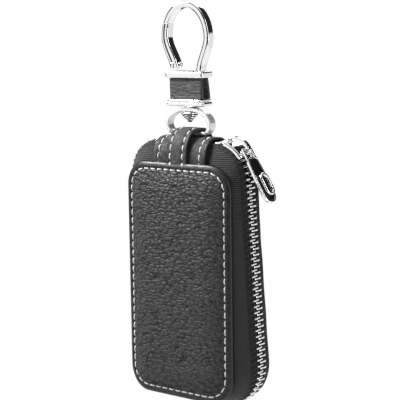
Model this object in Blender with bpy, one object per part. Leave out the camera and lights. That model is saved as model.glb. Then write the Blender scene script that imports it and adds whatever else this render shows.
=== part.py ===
"""Key fob case with a snap hook: a zip-round leather case that hangs from a swivel ring.

Frame: X to the right seen from the front, the front face looks towards -Y, +Z up.
The origin is the inside top of the hook's bow, where the object hangs.
"""
import math

import bmesh
import bpy
from mathutils import Matrix, Vector

MM = 0.001

# General clearances
GAP = 0.3 * MM
OVERRUN = 1.0 * MM

# Snap hook
BAR_WIDTH = 2.8 * MM
BAR_DEPTH = 4.2 * MM
BAR_EDGE = 0.6 * MM
BOW_HALF_WIDTH = 11.35 * MM
BOW_WIDE_DROP = 12.5 * MM
BOW_DROP = 27.1 * MM
LEG_OFFSET = 6.9 * MM
GATE_TOP_DROP = 6.4 * MM
PIVOT_DROP = 24.3 * MM
LUG_RADIUS = 1.35 * MM
LUG_DEPTH = 1.4 * MM
PIN_RADIUS = 0.6 * MM
PIN_HEAD_RADIUS = 0.95 * MM
PIN_HEAD_HEIGHT = 0.4 * MM
PIN_CLEARANCE = 0.15 * MM

# Gate
GATE_WALL = 0.5 * MM
GATE_WIDTH_TOP = 3.0 * MM
GATE_WIDTH_FOOT = 4.1 * MM
GATE_NOSE_GAP = 0.55 * MM
GATE_FOOT = 1.25 * MM
GATE_BALL_RADIUS = 1.15 * MM
GATE_BALL_OFFSET = 2.85 * MM
SPRING_THICKNESS = 0.3 * MM
SPRING_WIDTH = 1.2 * MM
SPRING_LENGTH = 9.0 * MM

# Plates and leather link
UPPER_PLATE_SIZE = (20.4 * MM, 7.9 * MM, 2.8 * MM)
PLATE_EDGE = 0.7 * MM
LINK_HEIGHT = 9.2 * MM
LINK_WIDTH = 17.3 * MM
LINK_DEPTH_TOP = 5.4 * MM
LINK_DEPTH_FOOT = 7.8 * MM
LINK_THICKNESS = 1.5 * MM
LINK_CORE_WIDTH = 14.0 * MM
LOWER_TIER_SIZE = (18.3 * MM, 8.2 * MM, 0.9 * MM)
LOWER_ROLL_SIZE = (20.4 * MM, 6.8 * MM, 2.1 * MM)

# Swivel rivet and ring
RIVET_POST_RADIUS = 1.0 * MM
RIVET_TIER_RADII = (3.9 * MM, 3.4 * MM, 2.4 * MM, 1.5 * MM)
RIVET_TIER_HEIGHT = 0.95 * MM
RING_WIDTH = 24.8 * MM
RING_HEIGHT = 12.4 * MM
RING_BAND = 1.7 * MM
RING_DEPTH = 4.2 * MM
RING_BAR_DIAMETER = 1.8 * MM
RING_FOOT_RADIUS = 5.0 * MM
RING_HOLE_CLEARANCE = 0.25 * MM

# Case outline, at the panels and at the zip
PANEL_HALF_WIDTH = 28.3 * MM
PANEL_HEIGHT = 103.2 * MM
PANEL_CORNER = 11.0 * MM
ZIP_HALF_WIDTH_TOP = 30.1 * MM
ZIP_HALF_WIDTH_FOOT = 34.0 * MM
ZIP_RISE = 7.8 * MM
ZIP_CREST_CLEARANCE = 1.3 * MM
ZIP_FALL = 2.4 * MM
ZIP_CORNER_START = 1.55 * MM
ZIP_CORNER_FOOT = 18.0 * MM
HALF_DEPTH_TOP = 10.6 * MM
HALF_DEPTH_FOOT = 13.4 * MM
FRONT_BULGE_TOP = 0.8 * MM
FRONT_BULGE_FOOT = 2.0 * MM

# Panel layers
CROWN_SHOULDER_SHARE = 0.8
RIM_ROUND_SHARE = 0.3
RIM_THICKNESS = 2.2 * MM
RIM_ROUND = 0.9 * MM
LEATHER = 1.1 * MM
STITCH_INSET = 3.0 * MM
STITCH_HALF_GROOVE = 1.0 * MM
STITCH_GROOVE_DEPTH = 0.35 * MM
CROWN_HEIGHT = 1.1 * MM
CROWN_INSET = 9.0 * MM
PLATEAU_INSET = 15.0 * MM
PAD_INSET = 3.4 * MM
PAD_THICKNESS = 1.5 * MM
LINING = 0.6 * MM

# Zip tape and teeth
TAPE = 0.7 * MM
TAPE_INSET = 1.2 * MM
TAPE_FLAT = 2.0 * MM
TAPE_CUT = 0.4 * MM
TOOTH_PITCH = 2.6 * MM
TOOTH_LENGTH = 2.7 * MM
TOOTH_WIDTH_ROOT = 0.9 * MM
TOOTH_WIDTH_HEAD = 1.5 * MM
TOOTH_HEIGHT = 1.9 * MM
TOOTH_CORD = 0.5 * MM
MEETING_GAP = 0.2 * MM
PARTED_GAP = 0.75 * MM
FIXED_TAPE_DROP = 1.2 * MM
STOP_LENGTH = 3.0 * MM

# Straps over the top
STRAP_WIDTH = 28.7 * MM
STRAP_THICKNESS = 1.2 * MM
STRAP_CREST_CLEARANCE = 0.35 * MM
LOOP_WIDTH = 11.0 * MM
LOOP_THICKNESS = 1.2 * MM
LOOP_CREST_CLEARANCE = 0.35 * MM

# Slider, angles are measured at the centre of the zip's top corner, from +X
SLIDER_HEAD_DEG = 76.0
SLIDER_TAIL_DEG = 35.0
SLIDER_HEAD_HALF = 4.6 * MM
SLIDER_TAIL_HALF = 3.9 * MM
SLIDER_PLATE = 1.1 * MM
SLIDER_CAVITY = 1.35 * MM
SLIDER_FLANGE = 0.45 * MM
SLIDER_FLANGE_WIDTH = 0.6 * MM
SLIDER_POST_HALF = 0.4 * MM
SLIDER_POST_DEG = 8.0
CROWN_WIDTH = 2.2 * MM
CROWN_THICKNESS = 0.9 * MM
CROWN_PEAK = 6.2 * MM
PULL_PIN_DEG = 42.0
PULL_PIN_RISE = 4.5 * MM

# Puller
PULLER_TILT_DEG = 30.0
PULLER_LENGTH = 25.0 * MM
PULLER_WIDTH = 8.2 * MM
PULLER_NECK_WIDTH = 6.4 * MM
PULLER_THICKNESS = 1.5 * MM
PULLER_ARM = 1.4 * MM
PULLER_SHOULDER = 3.6 * MM
PULLER_BAR_RADIUS = 0.7 * MM
PULLER_RIM = 0.9 * MM
PULLER_RECESS = 0.5 * MM
INLAY_THICKNESS = 0.7 * MM
EYELET_DROP = 17.0 * MM
EYELET_LENGTH = 10.4 * MM
EYELET_WIDTH = 5.6 * MM
EYELET_WIRE = 0.75 * MM

# Key holder inside
TAB_WIDTH = 9.0 * MM
TAB_THICKNESS = 1.0 * MM
TAB_LENGTH = 13.0 * MM
KEY_RING_RADIUS = 13.5 * MM
KEY_WIRE_WIDTH = 1.8 * MM
KEY_WIRE_DEPTH = 0.9 * MM
KEY_TURNS = 2
KEY_TURN_GAP = 0.45 * MM
TAB_RIVET_RADIUS = 2.0 * MM
TAB_RIVET_HEAD = 0.5 * MM
TAB_RIVET_POST = 0.8 * MM

# Counts of faces
BAR_STEPS = 24
ROUND_SIDES = 20
TOP_STEPS = 4
CORNER_STEPS = 7
FINE_STEPS = 28

# Heights that follow from the stack below the hook
PLATE_TOP = -BOW_DROP
PLATE_FOOT = PLATE_TOP - UPPER_PLATE_SIZE[2]
TIER_TOP = PLATE_FOOT - LINK_HEIGHT
ROLL_TOP = TIER_TOP - LOWER_TIER_SIZE[2]
ROLL_FOOT = ROLL_TOP - LOWER_ROLL_SIZE[2]
RING_TOP = ROLL_FOOT - GAP
RING_FOOT = RING_TOP - RING_HEIGHT
BAR_CENTRE = RING_FOOT + RING_BAR_DIAMETER / 2
LOOP_CREST = BAR_CENTRE + RING_BAR_DIAMETER / 2 + LOOP_CREST_CLEARANCE + LOOP_THICKNESS
STRAP_CREST = RING_FOOT - STRAP_CREST_CLEARANCE
ZIP_TOP = STRAP_CREST - STRAP_THICKNESS - ZIP_CREST_CLEARANCE - TAPE / 2
PANEL_TOP = ZIP_TOP - ZIP_RISE
PANEL_FOOT = PANEL_TOP - PANEL_HEIGHT
ZIP_FOOT = PANEL_FOOT - ZIP_FALL
CORNER_X = STRAP_WIDTH / 2 + ZIP_CORNER_START
ZIP_CORNER_TOP = ZIP_HALF_WIDTH_TOP - CORNER_X
CORNER_Z = ZIP_TOP - ZIP_CORNER_TOP
FIXED_TAPE_END = CORNER_Z - FIXED_TAPE_DROP
OPEN_AXIS_Y = -(HALF_DEPTH_TOP + FRONT_BULGE_TOP)
OPEN_AXIS_Z = PANEL_TOP - RIM_THICKNESS / 2


def clear_scene():
    """Remove every object that the file starts with."""
    for old in list(bpy.data.objects):
        bpy.data.objects.remove(old, do_unlink=True)


def make_material(name, colour, roughness, metallic):
    """A Principled BSDF material with one colour."""
    material = bpy.data.materials.new(name)
    material.use_nodes = True
    shader = material.node_tree.nodes["Principled BSDF"]
    shader.inputs["Base Color"].default_value = (*colour, 1.0)
    shader.inputs["Roughness"].default_value = roughness
    shader.inputs["Metallic"].default_value = metallic
    material.diffuse_color = (*colour, 1.0)
    return material


FINISHES = {
    "chrome": ((0.78, 0.79, 0.80), 0.12, 1.0),
    "zip_metal": ((0.72, 0.72, 0.73), 0.25, 1.0),
    "steel": ((0.45, 0.45, 0.46), 0.35, 1.0),
    "leather": ((0.035, 0.035, 0.037), 0.5, 0.0),
    "tape": ((0.02, 0.02, 0.022), 0.85, 0.0),
    "lining": ((0.05, 0.05, 0.055), 0.9, 0.0),
    "foam": ((0.12, 0.12, 0.12), 0.95, 0.0),
}


def add_object(name, mesh, finish):
    """Link a mesh as one named sub-part with a material of its own."""
    mesh.materials.append(make_material(name + "_finish", *FINISHES[finish]))
    mesh.shade_smooth()
    mesh.set_sharp_from_angle(angle=math.radians(32.0))
    part = bpy.data.objects.new(name, mesh)
    bpy.context.scene.collection.objects.link(part)
    return part


def mesh_from_bmesh(name, form):
    """Turn faces outward and store the form as a mesh."""
    bmesh.ops.recalc_face_normals(form, faces=form.faces)
    mesh = bpy.data.meshes.new(name)
    form.to_mesh(mesh)
    form.free()
    return mesh


def add_loft(form, rings, closed=False):
    """Join rings of points, which all have the same count, into one closed body."""
    rows = [[form.verts.new(point) for point in ring] for ring in rings]
    count = len(rows[0])
    pairs = list(zip(rows, rows[1:]))
    if closed:
        pairs.append((rows[-1], rows[0]))
    for first, second in pairs:
        for i in range(count):
            j = (i + 1) % count
            form.faces.new((first[i], first[j], second[j], second[i]))
    if not closed:
        form.faces.new(rows[0])
        form.faces.new(rows[-1])


def loft(name, rings, closed=False):
    """One body lofted through rings of points."""
    form = bmesh.new()
    add_loft(form, rings, closed)
    return mesh_from_bmesh(name, form)


def rounded_section(width, depth, edge):
    """An eight-point outline of a bar with bevelled corners."""
    w = width / 2
    d = depth / 2
    return [(w, d - edge), (w - edge, d), (edge - w, d), (-w, d - edge),
            (-w, edge - d), (edge - w, -d), (w - edge, -d), (w, edge - d)]


def circle(radius, sides):
    """Points of a circle."""
    turn = 2 * math.pi / sides
    return [(radius * math.cos(turn * i), radius * math.sin(turn * i)) for i in range(sides)]


def turned(name, profile, centre, sides=ROUND_SIDES):
    """A body turned about a line along Z, from (radius, height) points, bottom first."""
    rings = []
    for radius, height in profile:
        ring = [centre + Vector((x, y, height)) for x, y in circle(radius, sides)]
        rings.append(ring)
    return loft(name, rings)


def box_mesh(name, low, high):
    """A plain box between two corners."""
    rings = []
    for z in (low[2], high[2]):
        rings.append([Vector((low[0], low[1], z)), Vector((high[0], low[1], z)),
                      Vector((high[0], high[1], z)), Vector((low[0], high[1], z))])
    return loft(name, rings)


def add_cutter(name, mesh):
    """A hidden guide body for a Boolean."""
    guide = bpy.data.objects.new(name, mesh)
    bpy.context.scene.collection.objects.link(guide)
    guide.hide_render = True
    guide.display_type = "WIRE"
    return guide


def combine(part, other, operation):
    """Join a guide body to a part, or cut it away."""
    modifier = part.modifiers.new(operation.lower(), "BOOLEAN")
    modifier.operation = operation
    modifier.solver = "EXACT"
    modifier.object = other


# Outlines of the case


SIDE_SHARES = (0.0, 0.25, 0.5, 0.75)


def arc(centre, radius, start_deg, end_deg, steps):
    """Points of an arc in (x, z), without its last one."""
    points = []
    for i in range(steps):
        angle = math.radians(start_deg + (end_deg - start_deg) * i / steps)
        points.append((centre[0] + radius * math.cos(angle), centre[1] + radius * math.sin(angle)))
    return points


def between(start, end, share):
    """A point on the way from one to another."""
    return (start[0] + (end[0] - start[0]) * share, start[1] + (end[1] - start[1]) * share)


def mirrored(half):
    """A closed outline from its right half, which runs from the top middle to the foot's middle."""
    return half + [(-x, z) for x, z in reversed(half[1:-1])]


def outline_points(half_top, half_foot, top, foot, radius_top, radius_foot, inset=0.0,
                   corner_steps=CORNER_STEPS):
    """A closed outline in (x, z), clockwise from the middle of the top edge."""
    half_top -= inset
    half_foot -= inset
    top -= inset
    foot += inset
    radius_top = max(radius_top - inset, RIM_ROUND)
    radius_foot = max(radius_foot - inset, RIM_ROUND)
    upper = (half_top - radius_top, top - radius_top)
    lower = (half_foot - radius_foot, foot + radius_foot)
    half = [(upper[0] * i / TOP_STEPS, top) for i in range(TOP_STEPS)]
    half += arc(upper, radius_top, 90, 0, corner_steps)
    side_start = (half_top, upper[1])
    side_end = (half_foot, lower[1])
    half += [between(side_start, side_end, share) for share in SIDE_SHARES]
    half += arc(lower, radius_foot, 0, -90, corner_steps)
    half += [(lower[0] * (1 - i / TOP_STEPS), foot) for i in range(TOP_STEPS + 1)]
    return mirrored(half)


def panel_outline(inset=0.0):
    """Outline of the leather panels."""
    return outline_points(PANEL_HALF_WIDTH, PANEL_HALF_WIDTH, PANEL_TOP, PANEL_FOOT,
                          PANEL_CORNER, PANEL_CORNER, inset)


def zip_outline():
    """Outline of the zip, which stands out past the panels."""
    return outline_points(ZIP_HALF_WIDTH_TOP, ZIP_HALF_WIDTH_FOOT, ZIP_TOP, ZIP_FOOT,
                          ZIP_CORNER_TOP, ZIP_CORNER_FOOT, corner_steps=FINE_STEPS)


def drop_share(z):
    """How far down the panel a height lies, from 0 at the top to 1 at the foot."""
    return min(max((PANEL_TOP - z) / PANEL_HEIGHT, 0.0), 1.0)


def edge_half_depth(z):
    """Half of the case's depth at its side edge."""
    return HALF_DEPTH_TOP + (HALF_DEPTH_FOOT - HALF_DEPTH_TOP) * (PANEL_TOP - z) / PANEL_HEIGHT


def front_bulge(x, z):
    """How far the front panel stands out in its middle."""
    bulge = FRONT_BULGE_TOP + (FRONT_BULGE_FOOT - FRONT_BULGE_TOP) * drop_share(z)
    flat = PANEL_HALF_WIDTH - PLATEAU_INSET
    share = max(abs(x) - flat, 0.0) / (PANEL_HALF_WIDTH - flat)
    return bulge * max(1 - share ** 2, 0.0)


def panel_ring(inset, lift, front, bulged=True):
    """One loop of a panel layer: inset from the edge, lifted outward from the rim's plane."""
    ring = []
    for x, z in panel_outline(inset):
        depth = edge_half_depth(z) + lift
        if front and bulged:
            depth += front_bulge(x, z)
        ring.append(Vector((x, -depth if front else depth, z)))
    return ring


def close_with_strips(form, row):
    """Fill a loop that is symmetric about X = 0 with strips from side to side."""
    count = len(row)
    for i in range(count // 2):
        left = row[(count - i) % count]
        left_next = row[count - i - 1]
        corners = [row[i], row[i + 1], left_next, left]
        unique = list(dict.fromkeys(corners))
        if len(unique) >= 3:
            form.faces.new(unique)


def layered_panel(name, loops, front):
    """A sheet through loops of (inset, lift, bulged), from its outer middle to its inner middle."""
    form = bmesh.new()
    rows = []
    for inset, lift, bulged in loops:
        rows.append([form.verts.new(point) for point in panel_ring(inset, lift, front, bulged)])
    count = len(rows[0])
    for first, second in zip(rows, rows[1:]):
        for i in range(count):
            j = (i + 1) % count
            form.faces.new((first[i], first[j], second[j], second[i]))
    close_with_strips(form, rows[0])
    close_with_strips(form, rows[-1])
    return mesh_from_bmesh(name, form)


def leather_loops():
    """Loops of a leather panel with its rounded rim, stitch channel and crown."""
    slope = CROWN_HEIGHT * CROWN_SHOULDER_SHARE
    return [(PLATEAU_INSET, CROWN_HEIGHT, True),
            (CROWN_INSET, slope, True),
            (STITCH_INSET + STITCH_HALF_GROOVE, 0.0, True),
            (STITCH_INSET, -STITCH_GROOVE_DEPTH, True),
            (STITCH_INSET - STITCH_HALF_GROOVE, 0.0, True),
            (RIM_ROUND * RIM_ROUND_SHARE, -RIM_ROUND * RIM_ROUND_SHARE, True),
            (0.0, -RIM_ROUND, True),
            (0.0, -RIM_THICKNESS, True),
            (PAD_INSET - GAP, -RIM_THICKNESS, True),
            (PAD_INSET, -STITCH_GROOVE_DEPTH - LEATHER, True),
            (CROWN_INSET, slope - LEATHER, True),
            (PLATEAU_INSET, CROWN_HEIGHT - LEATHER, True)]


def pad_loops():
    """Loops of the padding behind the leather."""
    below = LEATHER + GAP
    inset = PAD_INSET + GAP
    return [(PLATEAU_INSET, CROWN_HEIGHT - below, True),
            (CROWN_INSET, CROWN_HEIGHT * CROWN_SHOULDER_SHARE - below, True),
            (inset, -STITCH_GROOVE_DEPTH - below, True),
            (inset, -RIM_THICKNESS - PAD_THICKNESS, False)]


def lining_loops():
    """Loops of the lining cloth behind the padding."""
    outer = -RIM_THICKNESS - PAD_THICKNESS - GAP
    return [(PAD_INSET, outer, False), (PAD_INSET, outer - LINING, False)]


def build_panels():
    """The front and rear leather panels with their padding and lining."""
    for side in ("front", "rear"):
        front = side == "front"
        add_object(side + "_panel", layered_panel(side + "_panel", leather_loops(), front), "leather")
        add_object(side + "_pad", layered_panel(side + "_pad", pad_loops(), front), "foam")
        add_object(side + "_lining", layered_panel(side + "_lining", lining_loops(), front), "lining")


# Zip tape


TAPE_SHARES = (0.0, 0.2, 0.5, 1.0)
TAPE_SIDE_SHARES = (0.0, 0.05, 0.35, 0.65)


def along_line(points, shares):
    """Points at shares of the length of a line of straight pieces."""
    lengths = [0.0]
    for start, end in zip(points, points[1:]):
        lengths.append(lengths[-1] + math.dist(start, end))
    found = []
    for share in shares:
        distance = share * lengths[-1]
        i = 0
        while i < len(points) - 2 and lengths[i + 1] < distance:
            i += 1
        found.append(between(points[i], points[i + 1],
                             (distance - lengths[i]) / (lengths[i + 1] - lengths[i])))
    return found


def split_at_height(points, height):
    """Cut a falling line of points at one height."""
    i = 0
    while points[i + 1][1] > height:
        i += 1
    start = points[i]
    end = points[i + 1]
    cut = between(start, end, (start[1] - height) / (start[1] - end[1]))
    return points[:i + 1] + [cut], [cut] + points[i + 1:]


def tape_outline(half_top, half_foot, top, foot, radius_top, radius_foot):
    """A closed outline whose points pair up with another's and lie on the tape's cut."""
    upper = (half_top - radius_top, top - radius_top)
    lower = (half_foot - radius_foot, foot + radius_foot)
    half = [(upper[0] * i / TOP_STEPS, top) for i in range(TOP_STEPS)]
    run = arc(upper, radius_top, 90, 0, FINE_STEPS) + [(half_top, upper[1]), (half_foot, lower[1])]
    above, below = split_at_height(run, FIXED_TAPE_END)
    half += along_line(above, [i / CORNER_STEPS for i in range(CORNER_STEPS)])
    half += along_line(below, TAPE_SIDE_SHARES)
    half += arc(lower, radius_foot, 0, -90, CORNER_STEPS)
    half += [(lower[0] * (1 - i / TOP_STEPS), foot) for i in range(TOP_STEPS + 1)]
    return mirrored(half)


def tape_at_panel(inset):
    """Where the tape leaves a panel."""
    return tape_outline(PANEL_HALF_WIDTH - inset, PANEL_HALF_WIDTH - inset, PANEL_TOP - inset,
                        PANEL_FOOT + inset, PANEL_CORNER - inset, PANEL_CORNER - inset)


def tape_at_zip(offset):
    """Where the tape ends at the teeth, a distance outside the zip's line."""
    return tape_outline(ZIP_HALF_WIDTH_TOP + offset, ZIP_HALF_WIDTH_FOOT + offset, ZIP_TOP + offset,
                        ZIP_FOOT - offset, ZIP_CORNER_TOP + offset, ZIP_CORNER_FOOT + offset)


def tape_section(panel_point, zip_point, side, bulged):
    """Points across the tape at one place of the outline, from the panel to the teeth."""
    x, z = panel_point
    start = edge_half_depth(z) - RIM_THICKNESS - GAP
    if bulged:
        start += front_bulge(x, z)
    end = TOOTH_LENGTH + GAP
    flat = end + TAPE_FLAT
    points = []
    for share in TAPE_SHARES:
        spot = between(panel_point, zip_point, math.sqrt(1 - (1 - share) ** 2))
        points.append(Vector((spot[0], side * (start + (flat - start) * share), spot[1])))
    points.append(Vector((zip_point[0], side * end, zip_point[1])))
    return points


def tape_rings(side, chosen, bulged=False):
    """Closed sections of the tape at the chosen places of the outline."""
    outer_panel = tape_at_panel(TAPE_INSET)
    inner_panel = tape_at_panel(TAPE_INSET + TAPE)
    outer_zip = tape_at_zip(TAPE / 2)
    inner_zip = tape_at_zip(-TAPE / 2)
    rings = []
    for i in chosen:
        outer = tape_section(outer_panel[i], outer_zip[i], side, bulged)
        inner = tape_section(inner_panel[i], inner_zip[i], side, bulged)
        rings.append(outer + inner[::-1])
    return rings


def lowered(ring, drop):
    """A section moved straight down."""
    return [Vector((point.x, point.y, point.z - drop)) for point in ring]


def build_tapes():
    """Rear tape all round, front tape that opens, and the fixed front tape at the top."""
    count = len(tape_at_zip(0.0))
    everywhere = list(range(count))
    cut = TOP_STEPS + CORNER_STEPS
    add_object("rear_gusset", loft("rear_gusset", tape_rings(1, everywhere), closed=True), "tape")
    fixed = everywhere[count - cut:] + everywhere[:cut + 1]
    add_object("top_gusset", loft("top_gusset", tape_rings(-1, fixed)), "tape")
    rings = tape_rings(-1, everywhere[cut:count - cut + 1], bulged=True)
    rings[0] = lowered(rings[0], TAPE_CUT)
    rings[-1] = lowered(rings[-1], TAPE_CUT)
    add_object("front_gusset", loft("front_gusset", rings), "tape")


# Zip teeth


def zip_track():
    """The zip's line, with the length run up to each point."""
    points = zip_outline()
    points.append(points[0])
    lengths = [0.0]
    for start, end in zip(points, points[1:]):
        lengths.append(lengths[-1] + math.dist(start, end))
    return points, lengths


def place_on_track(track, distance):
    """Position, direction and outward normal at a distance along the zip's line."""
    points, lengths = track
    i = 0
    while i < len(lengths) - 2 and lengths[i + 1] < distance:
        i += 1
    share = (distance - lengths[i]) / (lengths[i + 1] - lengths[i])
    start = Vector((points[i][0], 0.0, points[i][1]))
    end = Vector((points[i + 1][0], 0.0, points[i + 1][1]))
    along = (end - start).normalized()
    outward = Vector((-along.z, 0.0, along.x))
    return start.lerp(end, share), along, outward


def distance_at_height(track, height):
    """How far along the right side of the zip's line a height lies."""
    points, lengths = track
    i = 0
    while points[i + 1][1] > height:
        i += 1
    share = (points[i][1] - height) / (points[i][1] - points[i + 1][1])
    return lengths[i] + (lengths[i + 1] - lengths[i]) * share


def slider_parts_rows(spot):
    """Whether a tooth lies where the slider runs, so that the two rows stand apart."""
    angle = math.degrees(math.atan2(spot.z - CORNER_Z, spot.x - CORNER_X))
    return spot.x > CORNER_X and angle > -SLIDER_POST_DEG


def teeth_row(name, track, first, start, end, side, shift_share):
    """A row of teeth on the tape's cord, as one body, between two distances on the track."""
    total = track[1][-1]
    root = TOOTH_LENGTH - TOOTH_CORD
    form = bmesh.new()

    def corner(spot, outward, reach, rise):
        return form.verts.new(spot + Vector((0.0, side * reach, 0.0)) + outward * rise)

    def station(distance):
        spot, _, outward = place_on_track(track, distance)
        return [corner(spot, outward, TOOTH_LENGTH, -TOOTH_HEIGHT / 2),
                corner(spot, outward, TOOTH_LENGTH, TOOTH_HEIGHT / 2),
                corner(spot, outward, root, TOOTH_HEIGHT / 2),
                corner(spot, outward, root, -TOOTH_HEIGHT / 2)]

    centres = []
    distance = first + shift_share * TOOTH_PITCH
    while distance < total - first:
        if start + TOOTH_WIDTH_HEAD / 2 < distance < end - TOOTH_WIDTH_HEAD / 2:
            centres.append(distance)
        distance += TOOTH_PITCH
    before = station(start)
    form.faces.new(before)
    for centre in centres:
        low = station(centre - TOOTH_WIDTH_ROOT / 2)
        high = station(centre + TOOTH_WIDTH_ROOT / 2)
        for i in range(4):
            j = (i + 1) % 4
            form.faces.new((before[i], before[j], low[j], low[i]))
            if i != 2:
                form.faces.new((low[i], low[j], high[j], high[i]))
        spot, along, outward = place_on_track(track, centre)
        reach = PARTED_GAP if slider_parts_rows(spot) else MEETING_GAP
        half = along * TOOTH_WIDTH_HEAD / 2
        head = [corner(spot - half, outward, reach, TOOTH_HEIGHT / 2),
                corner(spot + half, outward, reach, TOOTH_HEIGHT / 2),
                corner(spot + half, outward, reach, -TOOTH_HEIGHT / 2),
                corner(spot - half, outward, reach, -TOOTH_HEIGHT / 2)]
        foot = [low[2], high[2], high[3], low[3]]
        for i in range(4):
            j = (i + 1) % 4
            form.faces.new((foot[i], foot[j], head[j], head[i]))
        form.faces.new(head)
        before = high
    last = station(end)
    for i in range(4):
        j = (i + 1) % 4
        form.faces.new((before[i], before[j], last[j], last[i]))
    form.faces.new(last)
    add_object(name, mesh_from_bmesh(name, form), "zip_metal")


def build_teeth():
    """Both rows of teeth; the front row is fixed near the strap and opens elsewhere."""
    track = zip_track()
    total = track[1][-1]
    first = STRAP_WIDTH / 2 + GAP + STOP_LENGTH + GAP
    cut = distance_at_height(track, FIXED_TAPE_END)
    teeth_row("rear_teeth", track, first, first, total - first, 1, 0.25)
    teeth_row("top_teeth_right", track, first, first, cut, -1, 0.75)
    teeth_row("front_teeth", track, first, cut + TAPE_CUT, total - cut - TAPE_CUT, -1, 0.75)
    teeth_row("top_teeth_left", track, first, total - cut, total - first, -1, 0.75)
    middle = first - GAP - STOP_LENGTH / 2
    build_stop("zip_stop_right", track, middle)
    build_stop("zip_stop_left", track, total - middle)


def build_stop(name, track, distance):
    """Metal stop that ends the zip beside the wide strap."""
    spot, along, outward = place_on_track(track, distance)
    rings = []
    for reach in (-TOOTH_LENGTH, TOOTH_LENGTH):
        ring = []
        for a, b in rounded_section(STOP_LENGTH, TOOTH_HEIGHT, BAR_EDGE / 2):
            ring.append(spot + Vector((0.0, reach, 0.0)) + along * a + outward * b)
        rings.append(ring)
    add_object(name, loft(name, rings), "zip_metal")


# Straps over the top


ARCH_POWER = 2.7
ARCH_STEPS = 18


def arch_points(half_depth, foot, crest):
    """A squarish arch in (y, z) from the front foot over the crest to the rear foot."""
    points = []
    for i in range(ARCH_STEPS + 1):
        angle = math.pi * i / ARCH_STEPS
        y = -half_depth * math.copysign(abs(math.cos(angle)) ** (2 / ARCH_POWER), math.cos(angle))
        z = foot + (crest - foot) * abs(math.sin(angle)) ** (2 / ARCH_POWER)
        points.append((y, z))
    return points


def strap_mesh(name, width, thickness, half_depth, crest):
    """A flat strap bent over the top of the case."""
    foot = PANEL_TOP + GAP
    outer = arch_points(half_depth, foot, crest)
    inner = arch_points(half_depth - thickness, foot, crest - thickness)
    rings = []
    for x in (-width / 2, width / 2):
        ring = [Vector((x, y, z)) for y, z in outer]
        ring += [Vector((x, y, z)) for y, z in reversed(inner)]
        rings.append(ring)
    return loft(name, rings)


def build_straps():
    """The wide hinge strap and the narrow loop that holds the ring."""
    tape_face = HALF_DEPTH_TOP - RIM_THICKNESS - GAP
    strap_face = tape_face + GAP + STRAP_THICKNESS
    loop_face = strap_face + GAP + LOOP_THICKNESS
    mesh = strap_mesh("hinge_strap", STRAP_WIDTH, STRAP_THICKNESS, strap_face, STRAP_CREST)
    add_object("hinge_strap", mesh, "leather")
    mesh = strap_mesh("hanger_loop", LOOP_WIDTH, LOOP_THICKNESS, loop_face, LOOP_CREST)
    add_object("hanger_loop", mesh, "leather")


# Snap hook


def bow_offset(drop):
    """Distance of the bow's centre line from the hook's middle at a drop below the hang point."""
    if drop <= BOW_WIDE_DROP:
        share = (BOW_WIDE_DROP - drop) / (BOW_WIDE_DROP + BAR_WIDTH / 2)
        return BOW_HALF_WIDTH * math.sqrt(max(1 - share * share, 0.0))
    share = min((drop - BOW_WIDE_DROP) / (BOW_DROP - BOW_WIDE_DROP), 1.0)
    return BOW_HALF_WIDTH + (LEG_OFFSET - BOW_HALF_WIDTH) * share * share * (3 - 2 * share)


def bow_path():
    """Centre line of the bow in (x, z), from the gate's nose over the top and down the right leg."""
    rise = BOW_WIDE_DROP + BAR_WIDTH / 2
    start = math.acos(-math.sqrt(max(1 - ((BOW_WIDE_DROP - GATE_TOP_DROP) / rise) ** 2, 0.0)))
    path = []
    for i in range(BAR_STEPS + 1):
        angle = start * (1 - i / BAR_STEPS)
        path.append((BOW_HALF_WIDTH * math.cos(angle), rise * math.sin(angle) - BOW_WIDE_DROP))
    leg_steps = BAR_STEPS // 3
    for i in range(1, leg_steps + 1):
        drop = BOW_WIDE_DROP + (BOW_DROP + GAP - BOW_WIDE_DROP) * i / leg_steps
        path.append((bow_offset(drop), -drop))
    return path


def sweep_in_plane(path, section, centre_y=0.0):
    """Rings of a section carried along a path in the X-Z plane; section is (outward, y)."""
    rings = []
    for i, (x, z) in enumerate(path):
        before = path[max(i - 1, 0)]
        after = path[min(i + 1, len(path) - 1)]
        along = Vector((after[0] - before[0], 0.0, after[1] - before[1])).normalized()
        outward = Vector((-along.z, 0.0, along.x))
        spot = Vector((x, centre_y, z))
        points = section(i) if callable(section) else section
        rings.append([spot + outward * u + Vector((0.0, v, 0.0)) for u, v in points])
    return rings


def level_end(rings, height):
    """Run the first section of a sweep along its path to one height."""
    level = []
    for point, following in zip(rings[0], rings[1]):
        level.append(point.lerp(following, (height - point.z) / (following.z - point.z)))
    rings[0] = level
    return rings


def plate_mesh(name, size, top, edge):
    """A rectangular plate with rounded long and short edges."""
    width, depth, height = size
    rings = []
    for inset, drop in ((edge, 0.0), (0.0, edge), (0.0, height - edge), (edge, height)):
        w = width / 2 - inset
        d = depth / 2 - inset
        cut = edge
        ring = [(w, d - cut), (w - cut, d), (cut - w, d), (-w, d - cut),
                (-w, cut - d), (cut - w, -d), (w - cut, -d), (w, cut - d)]
        rings.append([Vector((x, y, top - drop)) for x, y in ring])
    return loft(name, rings)


def pivot_x():
    """X of the gate's rivet."""
    return -bow_offset(PIVOT_DROP)


def lug_mesh():
    """The round-topped lug on the plate that carries the gate's rivet."""
    outline = [(LUG_RADIUS, PLATE_TOP - OVERRUN), (LUG_RADIUS, -PIVOT_DROP)]
    for i in range(1, 8):
        angle = math.pi * i / 8
        outline.append((LUG_RADIUS * math.cos(angle), LUG_RADIUS * math.sin(angle) - PIVOT_DROP))
    outline += [(-LUG_RADIUS, -PIVOT_DROP), (-LUG_RADIUS, PLATE_TOP - OVERRUN)]
    rings = []
    for y in (-LUG_DEPTH / 2, LUG_DEPTH / 2):
        rings.append([Vector((pivot_x() + x, y, z)) for x, z in outline])
    return loft("hook_lug_guide", rings)


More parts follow.
